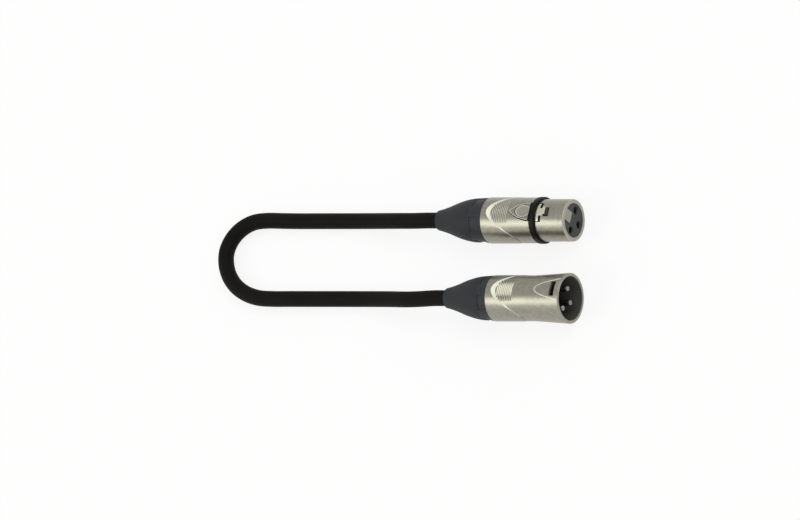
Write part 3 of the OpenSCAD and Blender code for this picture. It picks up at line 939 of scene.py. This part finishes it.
@dataclass
class SocketShell(SweptShell):
    """The socket connector's shell, with its nose, ring seat, latch slot and metal land."""

    place: Place = Place(25.9, 16.45, 8.8)
    length: float = 36.0
    ring_rear: float = -14.7
    ring_front: float = -12.4
    ring_seat_r: float = 7.85
    nose_r: float = 7.95
    nose_edge: float = 0.35
    # Painted highlight along the nose's front edge.
    nose_highlight: float = 0.6
    mouth_edge: float = 0.12
    mouth_wear: float = 0.1
    ring_lip: float = 0.05
    lip_edge: float = 0.15
    lip_wear: float = 0.7
    step_edge: float = 0.04
    insert_r: float = 6.4
    insert_seat: float = -24.6
    lever: LeverPlan = LeverPlan()
    lever_gap: float = 0.3
    shoulder_gap: float = 1.0
    slot_span: tuple[float, float] = (5.0, 12.0)
    land_w: float = 4.3
    land_z: float = 2.15
    land_l: float = 6.0
    land_front: float = -0.02
    land_bite: float = 0.1
    land_steps: int = 6

    def outline(self, angle: float) -> list[Corner]:
        """Outline of the shell's wall.

        Args:
            angle: Angle from the latch side.

        Returns:
            Points round the wall, always as many.
        """
        rear = self.rear(angle)
        wall = self.body(rear[-1].x, self.ring_rear, angle)
        front = [Corner(self.ring_rear, self.waist_r + self.ring_lip, self.lip_edge,
                        self.lip_wear),
                 Corner(self.ring_rear, self.ring_seat_r),
                 Corner(self.ring_front, self.ring_seat_r),
                 Corner(self.ring_front, self.nose_r, self.step_edge),
                 Corner(0, self.nose_r, self.nose_edge, self.nose_highlight),
                 Corner(0, self.insert_r, self.mouth_edge, self.mouth_wear),
                 Corner(self.insert_seat, self.insert_r), Corner(self.insert_seat, self.bore_r)]
        return rounded(rear + wall + front, 5)

    def build(self) -> None:
        """Builds the shell with its slot, land and ribs."""
        shell = turned("socket_shell", self.place, self.outline, NICKEL)
        slot = self.lever.outline(self.lever_gap, self.shoulder_gap)
        combine(shell, prism("slot", slot, self.place, *self.slot_span), Joining.CUT)
        # Painted shade on the slot's walls.
        shade_slot_walls(shell, self.place, slot)
        settle(shell, nodes=["female_housing"])
        settle(self.land())
        settle(self.ribs("socket_ribs"))

    def land(self) -> bpy.types.Object:
        """Makes the metal land that keys the front of the insert.

        Returns:
            The land, a prism along the axis with an arched back.
        """
        half, steps = self.land_w / 2, self.land_steps
        across = [half * k / steps for k in range(steps, -steps - 1, -1)]
        arc = [(y, math.sqrt((self.insert_r + self.land_bite) ** 2 - y ** 2)) for y in across]
        rim = [(-half, self.land_z), (half, self.land_z)] + arc
        loops = [[self.place.at(x, y, z) for y, z in rim]
                 for x in (-self.land_l, self.land_front)]
        return lofted("socket_land", loops, NICKEL)


@dataclass
class PlugShell(SweptShell):
    """The plug connector's shell, with its flare, latch window and raised outline."""

    place: Place = Place(33.2, -15.75, 9.5)
    length: float = 32.4
    rim_r: float = 9.5
    rim_edge: float = 0.28
    rim_wear: float = 0.1
    flare_l: float = 15.0
    socket_r: float = 8.15
    mouth_edge: float = 0.36
    bore_reach: float = 0.2
    outward: float = 1.0
    socket_depth: float = 15.0
    ledge_r: float = 7.1
    ledge_l: float = 1.5
    window_front: float = -1.9
    window_l: float = 2.1
    window_w: float = 5.9
    window_span: tuple[float, float] = (6.5, 12.0)
    ridge_l: float = 10.5
    ridge_front: float = -0.55
    ridge_curve: float = 1.31
    ridge_sink: float = 0.08
    ridge_steps: int = 30
    # Painted highlight on the plug's dip and ribs.
    painted_highlight: float = 0.5
    rib_highlight: float = 0.95
    rib_highlight_deg: float = 21.0

    def body_r(self, x: float) -> float:
        """Radius of the body, which flares towards the rim."""
        ahead = max(0.0, x + self.flare_l) / self.flare_l
        return self.waist_r + (self.rim_r - self.waist_r) * ahead

    def outline(self, angle: float) -> list[Corner]:
        """Outline of the shell's wall.

        Args:
            angle: Angle from the latch side.

        Returns:
            Points round the wall, always as many.
        """
        rear = self.rear(angle)
        wall = self.body(rear[-1].x, 0.0, angle)
        ledge_rear = -self.socket_depth - self.ledge_l
        front = [Corner(0, self.rim_r, self.rim_edge, self.rim_wear),
                 Corner(0, self.socket_r, self.mouth_edge),
                 Corner(-self.socket_depth, self.socket_r),
                 Corner(-self.socket_depth, self.ledge_r),
                 Corner(ledge_rear, self.ledge_r), Corner(ledge_rear, self.bore_r)]
        return rounded(rear + wall + front, 5)

    def ridge_path(self) -> list[Vector]:
        """Lays the raised outline, a parabola, on the flare.

        Returns:
            Points of its path in metres.
        """
        path = []
        for k in range(-self.ridge_steps, self.ridge_steps + 1):
            t = k / self.ridge_steps
            x = self.ridge_front - self.ridge_l * (1 - t * t)
            y = self.ridge_curve * t * math.sqrt(self.ridge_l)
            r = self.body_r(x) - self.ridge_sink
            path.append(self.place.at(x, y, math.sqrt(r * r - y * y)))
        return path

    def build(self) -> None:
        """Builds the shell with its window, raised outline, dark bore and ribs."""
        shell = turned("plug_shell", self.place, self.outline, NICKEL)
        half, rear = self.window_w / 2, self.window_front - self.window_l
        front = self.window_front
        slot = [(rear, -half), (front, -half), (front, half), (rear, half)]
        combine(shell, prism("window", slot, self.place, *self.window_span), Joining.CUT)
        # Painted shade on the window's walls.
        shade_slot_walls(shell, self.place, slot)
        self.darken_bore(shell)
        settle(shell, nodes=["male_housing"])
        settle(RaisedLine().build("plug_outline", self.ridge_path()))
        settle(self.ribs("plug_ribs"))

    def darken_bore(self, shell: bpy.types.Object) -> None:
        """Colours the inside of the shell dark.

        Args:
            shell: The finished shell.
        """
        shell.data.materials.append(SHELL_BORE.material())
        inside, index = self.socket_r + self.bore_reach, len(shell.data.materials) - 1
        for face in shell.data.polygons:
            spot = self.place.local(face.center)
            spoke = Vector((0.0, spot.y, spot.z))
            if spoke.length < inside and face.normal.dot(spoke) < self.outward:
                face.material_index = index


# ---- Cable entry ----


@dataclass
class CableEntry:
    """Grip band and soft boot behind a shell."""

    place: Place
    body_l: float
    band_l: float
    band_front_r: float = 8.53
    boot_r: float = 8.25
    boot_l: float = 17.1
    tip_r: float = 3.75
    bend: float = 8.5
    bend_r: float = 6.4
    taper: float = 0.71
    power: float = 1.6
    band_sides: int = 225
    boot_sides: int = 96
    seat_r: float = 6.9
    seat_end_r: float = 5.2
    seat_l: float = 7.0
    cable_r: float = 3.0
    neck_l: float = 7.2
    neck_r: float = 7.7
    neck_bore_r: float = 6.5
    throat_r: float = 3.3
    throat_step: float = 1.0
    cone_l: float = 8.2
    cone_start: float = 3.0
    band_edge: float = 0.12
    band_rear_edge: float = 0.1
    band_samples: int = 44
    pocket_count: int = 5
    pocket_arc_deg: float = 44.0
    pocket_first_deg: float = -36.0
    pocket_depth: float = 0.38
    pocket_front: float = 1.2
    pocket_rear: float = 0.7
    pocket_fade_deg: float = 1.6
    pocket_fade: float = 0.16
    thread_depth: float = 0.15
    thread_start: float = 0.3
    thread_step: float = 0.55
    thread_points: int = 12
    fit: float = 0.03
    skin_start: float = 0.9
    skin_trim: float = 1.3
    skin_samples: int = 60
    lip_l: float = 0.62
    lip_rise: float = 0.16
    lip_edge: float = 0.3
    fine_edge: float = 0.12
    seam_edge: float = 0.22
    seam_gap: float = 0.02

    def boot_profile_r(self, s: float) -> float:
        """Radius of the boot at a distance from its tip.

        Args:
            s: Distance from the tip.

        Returns:
            The radius: it swells from the tip, then rounds off to the band.
        """
        if s < self.bend:
            t = s / self.bend
            swell = self.taper * t + (1 - self.taper) * t * t
            return self.tip_r + (self.bend_r - self.tip_r) * swell
        t = (self.boot_l - s) / (self.boot_l - self.bend)
        return self.boot_r - (self.boot_r - self.bend_r) * t ** self.power

    def pocket(self, x: float, angle: float) -> float:
        """Depth of the grip pockets at a place on the band.

        Args:
            x: Distance behind the shell.
            angle: Angle from the latch side.

        Returns:
            How far the surface lies below the plain band.
        """
        pitch = 360 / self.pocket_count
        off = (math.degrees(angle) - self.pocket_first_deg + pitch / 2) % pitch - pitch / 2
        across = clamp((self.pocket_arc_deg / 2 - abs(off)) / self.pocket_fade_deg)
        inward = min(x - self.pocket_front, self.band_l - self.pocket_rear - x)
        along = clamp(inward / self.pocket_fade + 0.5)
        return self.pocket_depth * across * along

    def band_outline(self, angle: float) -> list[Corner]:
        """Outline of the bushing: band with pockets, tail inside the boot, and neck.

        Args:
            angle: Angle from the latch side.

        Returns:
            Points round the bushing's wall, always as many.
        """
        j, end = -self.body_l, -self.body_l - self.band_l
        tail = end - self.seat_l
        cone_end = j - self.cone_start - self.cone_l
        root = self.neck_r - self.thread_depth
        neck = [Corner(j + self.neck_l - self.thread_start - k * self.thread_step,
                       root if k % 2 else self.neck_r) for k in range(self.thread_points)]
        stations = [k * self.band_l / self.band_samples for k in range(1, self.band_samples)]
        slope = (self.band_front_r - self.boot_r) / self.band_l
        band = [Corner(j - s, self.band_front_r - slope * s - self.pocket(s, angle))
                for s in stations]
        return rounded(
            [Corner(j + self.neck_l, self.neck_bore_r), Corner(j + self.neck_l, root)]
            + neck
            + [Corner(j, root), Corner(j, self.band_front_r, self.band_edge)]
            + band
            + [Corner(end, self.boot_r, self.band_rear_edge), Corner(end, self.seat_r),
               Corner(tail, self.seat_end_r), Corner(tail, self.throat_r),
               Corner(cone_end, self.throat_r),
               Corner(cone_end, self.throat_r + self.throat_step),
               Corner(j - self.cone_start, self.neck_bore_r)], 3)

    def boot_outline(self, _angle: float) -> list[Corner]:
        """Outline of the boot, with a small lip at the cable and a seam at the band.

        Args:
            _angle: Not used, because the boot is the same all round.

        Returns:
            Points round the boot's wall.
        """
        front = -self.body_l - self.band_l
        tip = front - self.boot_l
        skin_l = self.boot_l - self.skin_trim
        stations = [self.skin_start + skin_l * k / self.skin_samples
                    for k in range(self.skin_samples + 1)]
        skin = [Corner(tip + s, self.boot_profile_r(s)) for s in stations]
        seat = front - self.seat_l - self.seam_gap
        return rounded(
            [Corner(tip, self.cable_r + self.fit, self.fine_edge),
             Corner(tip, self.tip_r + self.seam_gap, self.lip_edge),
             Corner(tip + self.lip_l, self.tip_r + self.lip_rise, self.fine_edge)]
            + skin
            + [Corner(front, self.boot_r - self.seam_gap, self.seam_edge),
               Corner(front, self.seat_r + self.fit), Corner(seat, self.seat_end_r + self.fit),
               Corner(seat, self.cable_r + self.fit)], 4)

    def build(self, end: str, nodes: tuple[str, str]) -> None:
        """Builds the band and the boot.

        Args:
            end: Name of the connector, for the pieces' names.
            nodes: Packed bushing and gland that they stand for.
        """
        band = turned(f"{end}_grip_band", self.place, self.band_outline, BAND, self.band_sides)
        settle(band, nodes=[nodes[0]])
        boot = turned(f"{end}_boot", self.place, self.boot_outline, BOOT, self.boot_sides)
        settle(boot, nodes=[nodes[1]])


# ---- Small parts ----


@dataclass
class SoftRing:
    """The rubber ring behind the socket connector's nose."""

    place: Place
    rear: float = -14.7
    front: float = -12.4
    seat_r: float = 7.86
    outer_r: float = 8.8
    edge: float = 0.4
    seat_edge: float = 0.05

    def outline(self, _angle: float) -> list[Corner]:
        """Outline of the ring's section.

        Args:
            _angle: Not used, because the ring is the same all round.

        Returns:
            Points round the section.
        """
        return rounded([Corner(self.rear, self.seat_r, self.seat_edge),
                        Corner(self.rear, self.outer_r, self.edge),
                        Corner(self.front, self.outer_r, self.edge),
                        Corner(self.front, self.seat_r, self.seat_edge)], 6)

    def build(self) -> None:
        """Builds the ring."""
        ring = turned("soft_ring", self.place, self.outline, SOFT_RING)
        settle(ring, nodes=["female_ring"])


@dataclass
class LatchLever:
    """The press-to-release lever: thumb tongue, arm under the ring, and locking tooth."""

    place: Place
    plan: LeverPlan = LeverPlan()
    bottom: float = 6.6
    crown_r: float = 12.0
    crown_z: float = 8.75
    crown_end: float = -14.95
    neck_r: float = 7.75
    arm_start: float = -11.9
    arm_r: float = 7.9
    dish_x: float = -17.4
    dish_r: float = 12.0
    dish_depth: float = 0.55
    edge: float = 0.13
    hook_rear: float = -8.9
    hook_front: float = -7.6
    hook_z: float = 9.15
    hook_crown: float = 0.1
    overlap: float = 0.6
    # Painted highlight on the arm and tooth, the edges and the dish, and a painted shade line
    # round the dish's rim.
    painted_highlight: float = 0.62
    dish_line: float = 0.06
    edge_light: float = 0.65
    dish_shade: float = -0.85
    dish_highlight: float = 0.12
    # Faces steeper than this get painted shade.
    wall_tilt: float = 0.72
    tip_gap: float = 0.02
    thinnest: float = 0.03
    crease: float = 0.01
    hook_chamfer: float = 0.3
    hook_turn: float = 0.2
    hook_drop: float = 0.35
    across_steps: int = 28
    edge_steps: int = 5
    corner_steps: int = 4
    tooth_steps: int = 5
    length_steps: int = 90
    highlit_edges: float = 2.5
    highlit_lines: float = 3.0

    def crown(self, y: float) -> float:
        """Height of the lever's crowned top at a distance to the side."""
        return self.crown_z - self.crown_r + math.sqrt(self.crown_r ** 2 - y * y)

    def dish(self, x: float, y: float) -> float:
        """Height of the thumb dish, a part of a ball, at a place."""
        reach = self.dish_r ** 2 - (x - self.dish_x) ** 2 - y * y
        return self.crown_z - self.dish_depth + self.dish_r - math.sqrt(reach)

    def top(self, x: float, y: float) -> float:
        """Height of the tongue, neck or shoulders at a place.

        Args:
            x: Station along the axis.
            y: Distance to the side.

        Returns:
            Height above the connector's axis.
        """
        if x > self.arm_start:
            return math.sqrt(self.arm_r ** 2 - y * y)
        if x > self.crown_end:
            return math.sqrt(self.neck_r ** 2 - y * y)
        return min(self.crown(y), self.dish(x, y))

    def section(self, x: float, near_end: float) -> list[tuple[float, float]]:
        """Section of the tongue or arm, with its upper edges rounded.

        Args:
            x: Station along the axis.
            near_end: Distance from the closest end of the solid.

        Returns:
            Points (y, z) round the section, always as many.
        """
        half = max(self.thinnest, self.plan.half_width(x))
        ease = min(self.edge, half / 2)
        drop = ease - math.sqrt(max(0.0, ease ** 2 - max(0.0, ease - near_end) ** 2))
        side = []
        for k in range(self.edge_steps + 1):
            a = math.pi / 2 * k / self.edge_steps
            y = half - ease * (1 - math.sin(a))
            side.append((y, self.top(x, y) - ease * (1 - math.cos(math.pi / 2 - a)) - drop))
        inner = half - ease
        spots = [inner - 2 * inner * k / self.across_steps for k in range(1, self.across_steps)]
        crest = [(y, self.top(x, y) - drop) for y in spots]
        return [(half, self.bottom)] + side + crest + [(-y, z) for y, z in reversed(side)] + [
            (-half, self.bottom)]

    def blade(self) -> bpy.types.Object:
        """Makes the tongue, the neck under the ring, and the shoulders.

        Returns:
            Them as one solid.
        """
        tip = self.plan.tongue_front - self.plan.tongue_l + self.tip_gap
        front = self.plan.shoulder_front
        stations = [tip + (self.crown_end - tip) * k / self.length_steps
                    for k in range(self.length_steps + 1)]
        stations += [self.crown_end + self.crease, self.arm_start, self.arm_start + self.crease]
        stations += [front - self.edge * (1 - k / self.corner_steps)
                     for k in range(self.corner_steps + 1)]
        loops = [[self.place.at(x, y, z) for y, z in self.section(x, front - x)]
                 for x in stations]
        return lofted("latch_blade", loops, NICKEL)

    def tooth(self) -> bpy.types.Object:
        """Makes the arm's narrow front with the locking tooth, its edges rounded.

        Returns:
            The solid, which reaches back into the shoulders.
        """
        half, rear = self.plan.tooth_w / 2, self.plan.shoulder_front - self.overlap
        front = self.plan.tooth_front
        corner = [-half + self.edge * (1 - math.cos(math.pi / 2 * k / self.corner_steps))
                  for k in range(self.corner_steps + 1)]
        middle = [(half - self.edge) * (k / self.tooth_steps - 1)
                  for k in range(1, 2 * self.tooth_steps)]
        sides = corner + middle + [-y for y in reversed(corner)]
        loops = []
        for y in sides:
            near = max(0.0, abs(y) - half + self.edge)
            inset = self.edge - math.sqrt(max(0.0, self.edge ** 2 - near ** 2))
            crest = self.hook_z - self.hook_crown * (y / half) ** 2 - inset
            arm = math.sqrt(self.arm_r ** 2 - y * y) - inset
            back, nose = self.hook_rear + inset, self.hook_front - inset
            chamfer = self.edge * self.hook_chamfer
            profile = [
                (rear, self.bottom), (rear, arm), (back, arm), (back, crest - self.edge),
                (back + chamfer, crest - chamfer), (back + self.edge, crest),
                (nose - self.edge, crest),
                (nose - self.edge * self.hook_turn, crest - self.edge * self.hook_drop),
                (nose + chamfer, crest - self.edge),
                (front - inset, self.neck_r), (front - inset, self.bottom)]
            loops.append([self.place.at(x, y, z) for x, z in profile])
        return lofted("latch_tooth", loops, NICKEL)

    def build(self) -> None:
        """Joins blade and tooth, paints shade on their steep walls and light on their upper side,
        and sets them on the lever's body.
        """
        lever = self.blade()
        combine(lever, self.tooth(), Joining.ADD)
        # Painted shade on the steep walls.
        lever.data.materials.append(SHADED_WALL.material())
        for face in lever.data.polygons:
            if face.normal.z < self.wall_tilt:
                face.material_index = len(lever.data.materials) - 1
        # Painted highlight and shade on the upper side.
        mark_by_place(lever, self.place, self.wear_and_painted_light)
        settle(lever, body="latch_lever", nodes=["latch"])

    def wear_and_painted_light(self, spot: Vector) -> float:
        """Tells the painted highlight and painted shade on the lever's upper side at a place.

        Args:
            spot: Place in the connector's axes, in millimetres.

        Returns:
            Painted highlight from 0 to 1, or painted shade as a negative value.
        """
        # Painted highlight on the arm and tooth.
        if spot.x > self.arm_start:
            return self.painted_highlight
        if spot.x > self.crown_end:
            return 0.0
        inside = self.crown(spot.y) - self.dish(spot.x, spot.y)
        # A painted shade line round the dish's rim.
        if abs(inside) < self.dish_line:
            return self.dish_shade
        # Painted highlight on the tongue's edges and on a line inside the dish's rim.
        on_line = 0 < inside < self.highlit_lines * self.dish_line
        margin = self.plan.half_width(spot.x) - abs(spot.y)
        if on_line or margin < self.highlit_edges * self.edge:
            return self.edge_light
        # A faint painted highlight inside the dish.
        return self.dish_highlight if inside > 0 else 0.0


@dataclass
class PlugPins:
    """The three round pins of the plug connector."""

    place: Place
    spread: float = 4.05
    pin_r: float = 1.2
    shank_r: float = 1.5
    tip: float = -2.0
    face: float = -15.0
    rear: float = -24.8
    tip_edge: float = 1.1
    cup_r: float = 1.45
    cup_l: float = 4.3
    cup_depth: float = 3.3
    cup_bore_r: float = 0.95
    cup_edge: float = 0.1
    sides: int = 40

    def outline(self, _angle: float) -> list[Corner]:
        """Outline of a pin, from its solder cup to its rounded tip.

        Args:
            _angle: Not used, because a pin is the same all round.

        Returns:
            Points from the cup's floor to the tip.
        """
        cup_end = self.rear - self.cup_l
        floor = cup_end + self.cup_depth
        return rounded([Corner(floor, 0.0), Corner(floor, self.cup_bore_r),
                        Corner(cup_end, self.cup_bore_r),
                        Corner(cup_end, self.cup_r, self.cup_edge),
                        Corner(self.rear, self.cup_r), Corner(self.rear, self.shank_r),
                        Corner(self.face, self.shank_r), Corner(self.face, self.pin_r),
                        Corner(self.tip, self.pin_r, self.tip_edge), Corner(self.tip, 0.0)], 8)

    def build(self) -> None:
        """Builds the three pins."""
        for number, (y, z) in enumerate(((1, 0), (-1, 0), (0, -1)), 1):
            spot = Place(self.place.x, self.place.y + y * self.spread,
                         self.place.z + z * self.spread)
            pin = turned(f"plug_pin_{number}", spot, self.outline, CONTACT, self.sides,
                         closed=False)
            settle(pin, nodes=[f"male_pin_{number}"])


@dataclass
class FreeCable:
    """The cable between the boots, along its resting route."""

    diameter: float = 6.0
    sides: int = 28
    fine: int = 6
    sharp_deg: float = 50.0
    route: tuple[Point, ...] = (
        (-33.2, 16.45, 8.8), (-38.9, 16.45, 8.8), (-44.9, 16.45, 8.5), (-51.9, 16.9, 7.5),
        (-59.9, 17.75, 5.6), (-67.9, 18.5, 3.9), (-75.9, 18.9, 3), (-83.9, 18.9, 3),
        (-91.9, 18.9, 3), (-99.9, 18.9, 3), (-107.1, 19, 3), (-114, 19.1, 3), (-119.7, 18.4, 3),
        (-124.2, 16, 3), (-127.4, 12.1, 3), (-128.8, 7, 3), (-127.9, 1.7, 3), (-125.1, -3.6, 3),
        (-120.8, -8, 3), (-115.4, -11.1, 3), (-109.4, -12.8, 3), (-102.9, -13.2, 3),
        (-95.9, -13.2, 3), (-87.9, -13.2, 3), (-79.9, -13.2, 3), (-71.9, -13.2, 3),
        (-63.9, -13.2, 3), (-55.9, -13.7, 4.1), (-47.9, -14.6, 6), (-39.9, -15.6, 8),
        (-32.9, -15.9, 9.1), (-26.9, -15.75, 9.5), (-20.8, -15.75, 9.5))

    def line(self) -> list[Vector]:
        """Draws a smooth centreline through the route's points.

        Returns:
            Points of the centreline in metres.
        """
        knots = [Vector(p) * MM for p in self.route]
        ends = [2 * knots[0] - knots[1], *knots, 2 * knots[-1] - knots[-2]]
        path = []
        for i in range(1, len(ends) - 2):
            a, b, c, d = ends[i - 1:i + 3]
            for k in range(self.fine):
                t = k / self.fine
                path.append(0.5 * (2 * b + (c - a) * t + (2 * a - 5 * b + 4 * c - d) * t ** 2
                                   + (3 * b - a - 3 * c + d) * t ** 3))
        return path + [knots[-1]]

    def build(self) -> None:
        path = self.line()
        radius = self.diameter / 2 * MM
        loops = []
        for i, spot in enumerate(path):
            ahead = (path[min(i + 1, len(path) - 1)] - path[max(i - 1, 0)]).normalized()
            side = Vector((0, 0, 1)).cross(ahead).normalized()
            up = ahead.cross(side)
            turns = [2 * math.pi * k / self.sides for k in range(self.sides)]
            loops.append([spot + radius * (math.cos(a) * side + math.sin(a) * up)
                          for a in turns])
        tube = lofted("cable_jacket", loops, JACKET, self.sharp_deg)
        self.map_along(tube, path)
        settle(tube, nodes=["cable"])
        length = sum((b - a).length for a, b in zip(path, path[1:]))
        tuple(path[0])
        [tuple(p) for p in path]
        LOG.info("cable: %.1f mm long", length / MM)

    def map_along(self, tube: bpy.types.Object, path: Sequence[Vector]) -> None:
        """Gives the tube a map that runs along it in metres and once round it.

        Args:
            tube: The tube.
            path: Its centreline.
        """
        travelled = [0.0]
        for a, b in zip(path, path[1:]):
            travelled.append(travelled[-1] + (b - a).length)
        n = self.sides
        layer = tube.data.uv_layers.new(name="along")
        for face in tube.data.polygons:
            rings = [tube.data.loops[i].vertex_index % n for i in face.loop_indices]
            wraps = max(rings) - min(rings) > n / 2
            for i in face.loop_indices:
                vertex = tube.data.loops[i].vertex_index
                turn = vertex % n
                turn += n if wraps and turn == 0 else 0
                layer.data[i].uv = (travelled[min(vertex // n, len(path) - 1)], turn / n)


class CarriedNode(Enum):
    """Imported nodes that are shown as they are, each with its finish."""

    HINGE_PIN = ("latch_pin", STEEL)
    SPRING = ("latch_spring", STEEL)
    SOCKET_INSERT = ("female_insert", INSERT)
    SOCKET_CONTACT_1 = ("female_contact_1", SOCKET_CONTACT)
    SOCKET_CONTACT_2 = ("female_contact_2", SOCKET_CONTACT)
    SOCKET_CONTACT_3 = ("female_contact_3", SOCKET_CONTACT)
    SOCKET_CLIP = ("female_ground_clip", STEEL)
    SOCKET_CHUCK = ("female_chuck", NYLON)
    SOCKET_CABLE_END = ("female_cable_end", JACKET)
    SOCKET_RED = ("female_wire_2", RED_CORE)
    SOCKET_WHITE = ("female_wire_3", WHITE_CORE)
    SOCKET_SHIELD = ("female_shield_tail", COPPER)
    PLUG_INSERT = ("male_insert", INSERT)
    PLUG_CLIP = ("male_ground_clip", STEEL)
    PLUG_CHUCK = ("male_chuck", NYLON)
    PLUG_CABLE_END = ("male_cable_end", JACKET)
    PLUG_RED = ("male_wire_2", RED_CORE)
    PLUG_WHITE = ("male_wire_3", WHITE_CORE)
    PLUG_SHIELD = ("male_shield_tail", COPPER)

    def dress(self) -> None:
        """Gives the node its finish."""
        node, finish = self.value
        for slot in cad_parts[node].material_slots:
            slot.material = finish.material()


# ---- Studio ----


@dataclass
class Studio:
    """Camera, floor and soft light."""

    aim: Point = (-36.7, -6.2, 22.9)
    towards_camera: Point = (0.5373, -0.3498, 0.7675)
    up: Point = (0.0, 0.91, 0.4147)
    distance: float = 7.5
    focal_mm: float = 904.5
    sensor_mm: float = 36.0
    clip_end: float = 50.0
    floor_half: float = 6.0
    floor_grey: float = 0.92
    floor_roughness: float = 0.9
    white_share: float = 0.85
    room: Colour = (0.78, 0.79, 0.78)
    lamp_tint: Colour = (0.98, 1.0, 0.90)
    lamps: tuple[tuple[str, Point, float, float], ...] = (
        ("key", (-0.537, -0.53, 0.66), 0.53, 27.0),
        ("back", (0.48, 0.35, 0.80), 0.45, 30.0),
        ("side", (-0.50, -0.82, 0.30), 0.08, 30.0))

    def camera(self) -> None:
        """Places the camera far off with a long lens."""
        lens = bpy.data.cameras.new("camera")
        lens.lens, lens.sensor_width = self.focal_mm, self.sensor_mm
        lens.clip_end = self.clip_end
        eye = add_object("camera", lens)
        back = Vector(self.towards_camera).normalized()
        right = Vector(self.up).cross(back).normalized()
        turn = Matrix((right, back.cross(right), back)).transposed()
        spot = Vector(self.aim) * MM + back * self.distance
        eye.matrix_world = Matrix.Translation(spot) @ turn.to_4x4()
        bpy.context.scene.camera = eye

    def floor(self) -> None:
        """Lays the pale floor."""
        half = self.floor_half
        corners = [(-half, -half, 0), (half, -half, 0), (half, half, 0), (-half, half, 0)]
        mesh = bpy.data.meshes.new("floor")
        mesh.from_pydata(corners, [], [(0, 1, 2, 3)])
        floor = add_object("floor", mesh)
        mesh.materials.append(self.floor_paint())

    def floor_paint(self) -> bpy.types.Material:
        """Makes the floor's matte white, lifted where the camera or a gloss sees it.

        Returns:
            The floor's material.
        """
        paint = bpy.data.materials.new("floor_paint")
        paint.use_nodes = True
        tree = paint.node_tree
        shader = tree.nodes["Principled BSDF"]
        fill(tree, shader, {"Base Color": (*(self.floor_grey,) * 3, 1),
                            "Roughness": self.floor_roughness, "Specular IOR Level": 0.0})
        rays = add_node(tree, "ShaderNodeLightPath").outputs
        either = add_node(tree, "ShaderNodeMath", {
            0: rays["Is Camera Ray"], 1: rays["Is Glossy Ray"]}, operation="MAXIMUM")
        share = add_node(tree, "ShaderNodeMath", {
            0: either.outputs["Value"], 1: self.white_share}, operation="MULTIPLY")
        white = add_node(tree, "ShaderNodeEmission")
        mix = add_node(tree, "ShaderNodeMixShader", {
            "Fac": share.outputs["Value"], 1: shader.outputs["BSDF"],
            2: white.outputs["Emission"]})
        surface = tree.nodes["Material Output"].inputs["Surface"]
        tree.links.new(mix.outputs["Shader"], surface)
        return paint

    def lights(self) -> None:
        """Lights the scene: an even grey room and three broad lamps."""
        world = bpy.data.worlds.new("room")
        world.use_nodes = True
        fill(world.node_tree, world.node_tree.nodes["Background"],
             {"Color": (*self.room, 1), "Strength": 1.0})
        bpy.context.scene.world = world
        for lamp in self.lamps:
            self.sun(*lamp)

    def sun(self, name: str, direction: Point, strength: float, spread_deg: float) -> None:
        """Adds a broad distant lamp.

        Args:
            name: The lamp's name.
            direction: From the object towards the lamp.
            strength: Light that it gives.
            spread_deg: Width of the lamp as seen from the object.
        """
        lamp = bpy.data.lights.new(name, "SUN")
        lamp.energy, lamp.angle = strength, math.radians(spread_deg)
        lamp.color = self.lamp_tint
        holder = add_object(name, lamp)
        holder.rotation_mode = "QUATERNION"
        holder.rotation_quaternion = Vector(direction).to_track_quat("Z", "Y")

    def build(self) -> None:
        """Sets up the view, the floor and the light."""
        self.camera()
        self.floor()
        self.lights()
        bpy.context.scene.view_settings.view_transform = "Standard"


@dataclass
class MicrophoneLead:
    """The whole lead: cable, connectors and what is inside them."""

    socket: SocketShell = field(default_factory=SocketShell)
    plug: PlugShell = field(default_factory=PlugShell)
    socket_band_l: float = 6.0
    plug_band_l: float = 4.5

    def build(self) -> None:
        """Builds every piece in order."""
        FreeCable().build()
        self.socket.build()
        SoftRing(self.socket.place).build()
        LatchLever(self.socket.place).build()
        CableEntry(self.socket.place, self.socket.length, self.socket_band_l).build(
            "socket", ("female_bushing", "female_gland"))
        self.plug.build()
        PlugPins(self.plug.place).build()
        CableEntry(self.plug.place, self.plug.length, self.plug_band_l).build(
            "plug", ("male_bushing", "male_gland"))
        for node in CarriedNode:
            node.dress()


def main() -> None:
    """Builds the studio and the lead."""
    logging.basicConfig(level=logging.INFO, format="%(name)s: %(message)s")
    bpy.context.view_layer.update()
    Studio().build()
    MicrophoneLead().build()


if __name__ == "__main__":
    main()
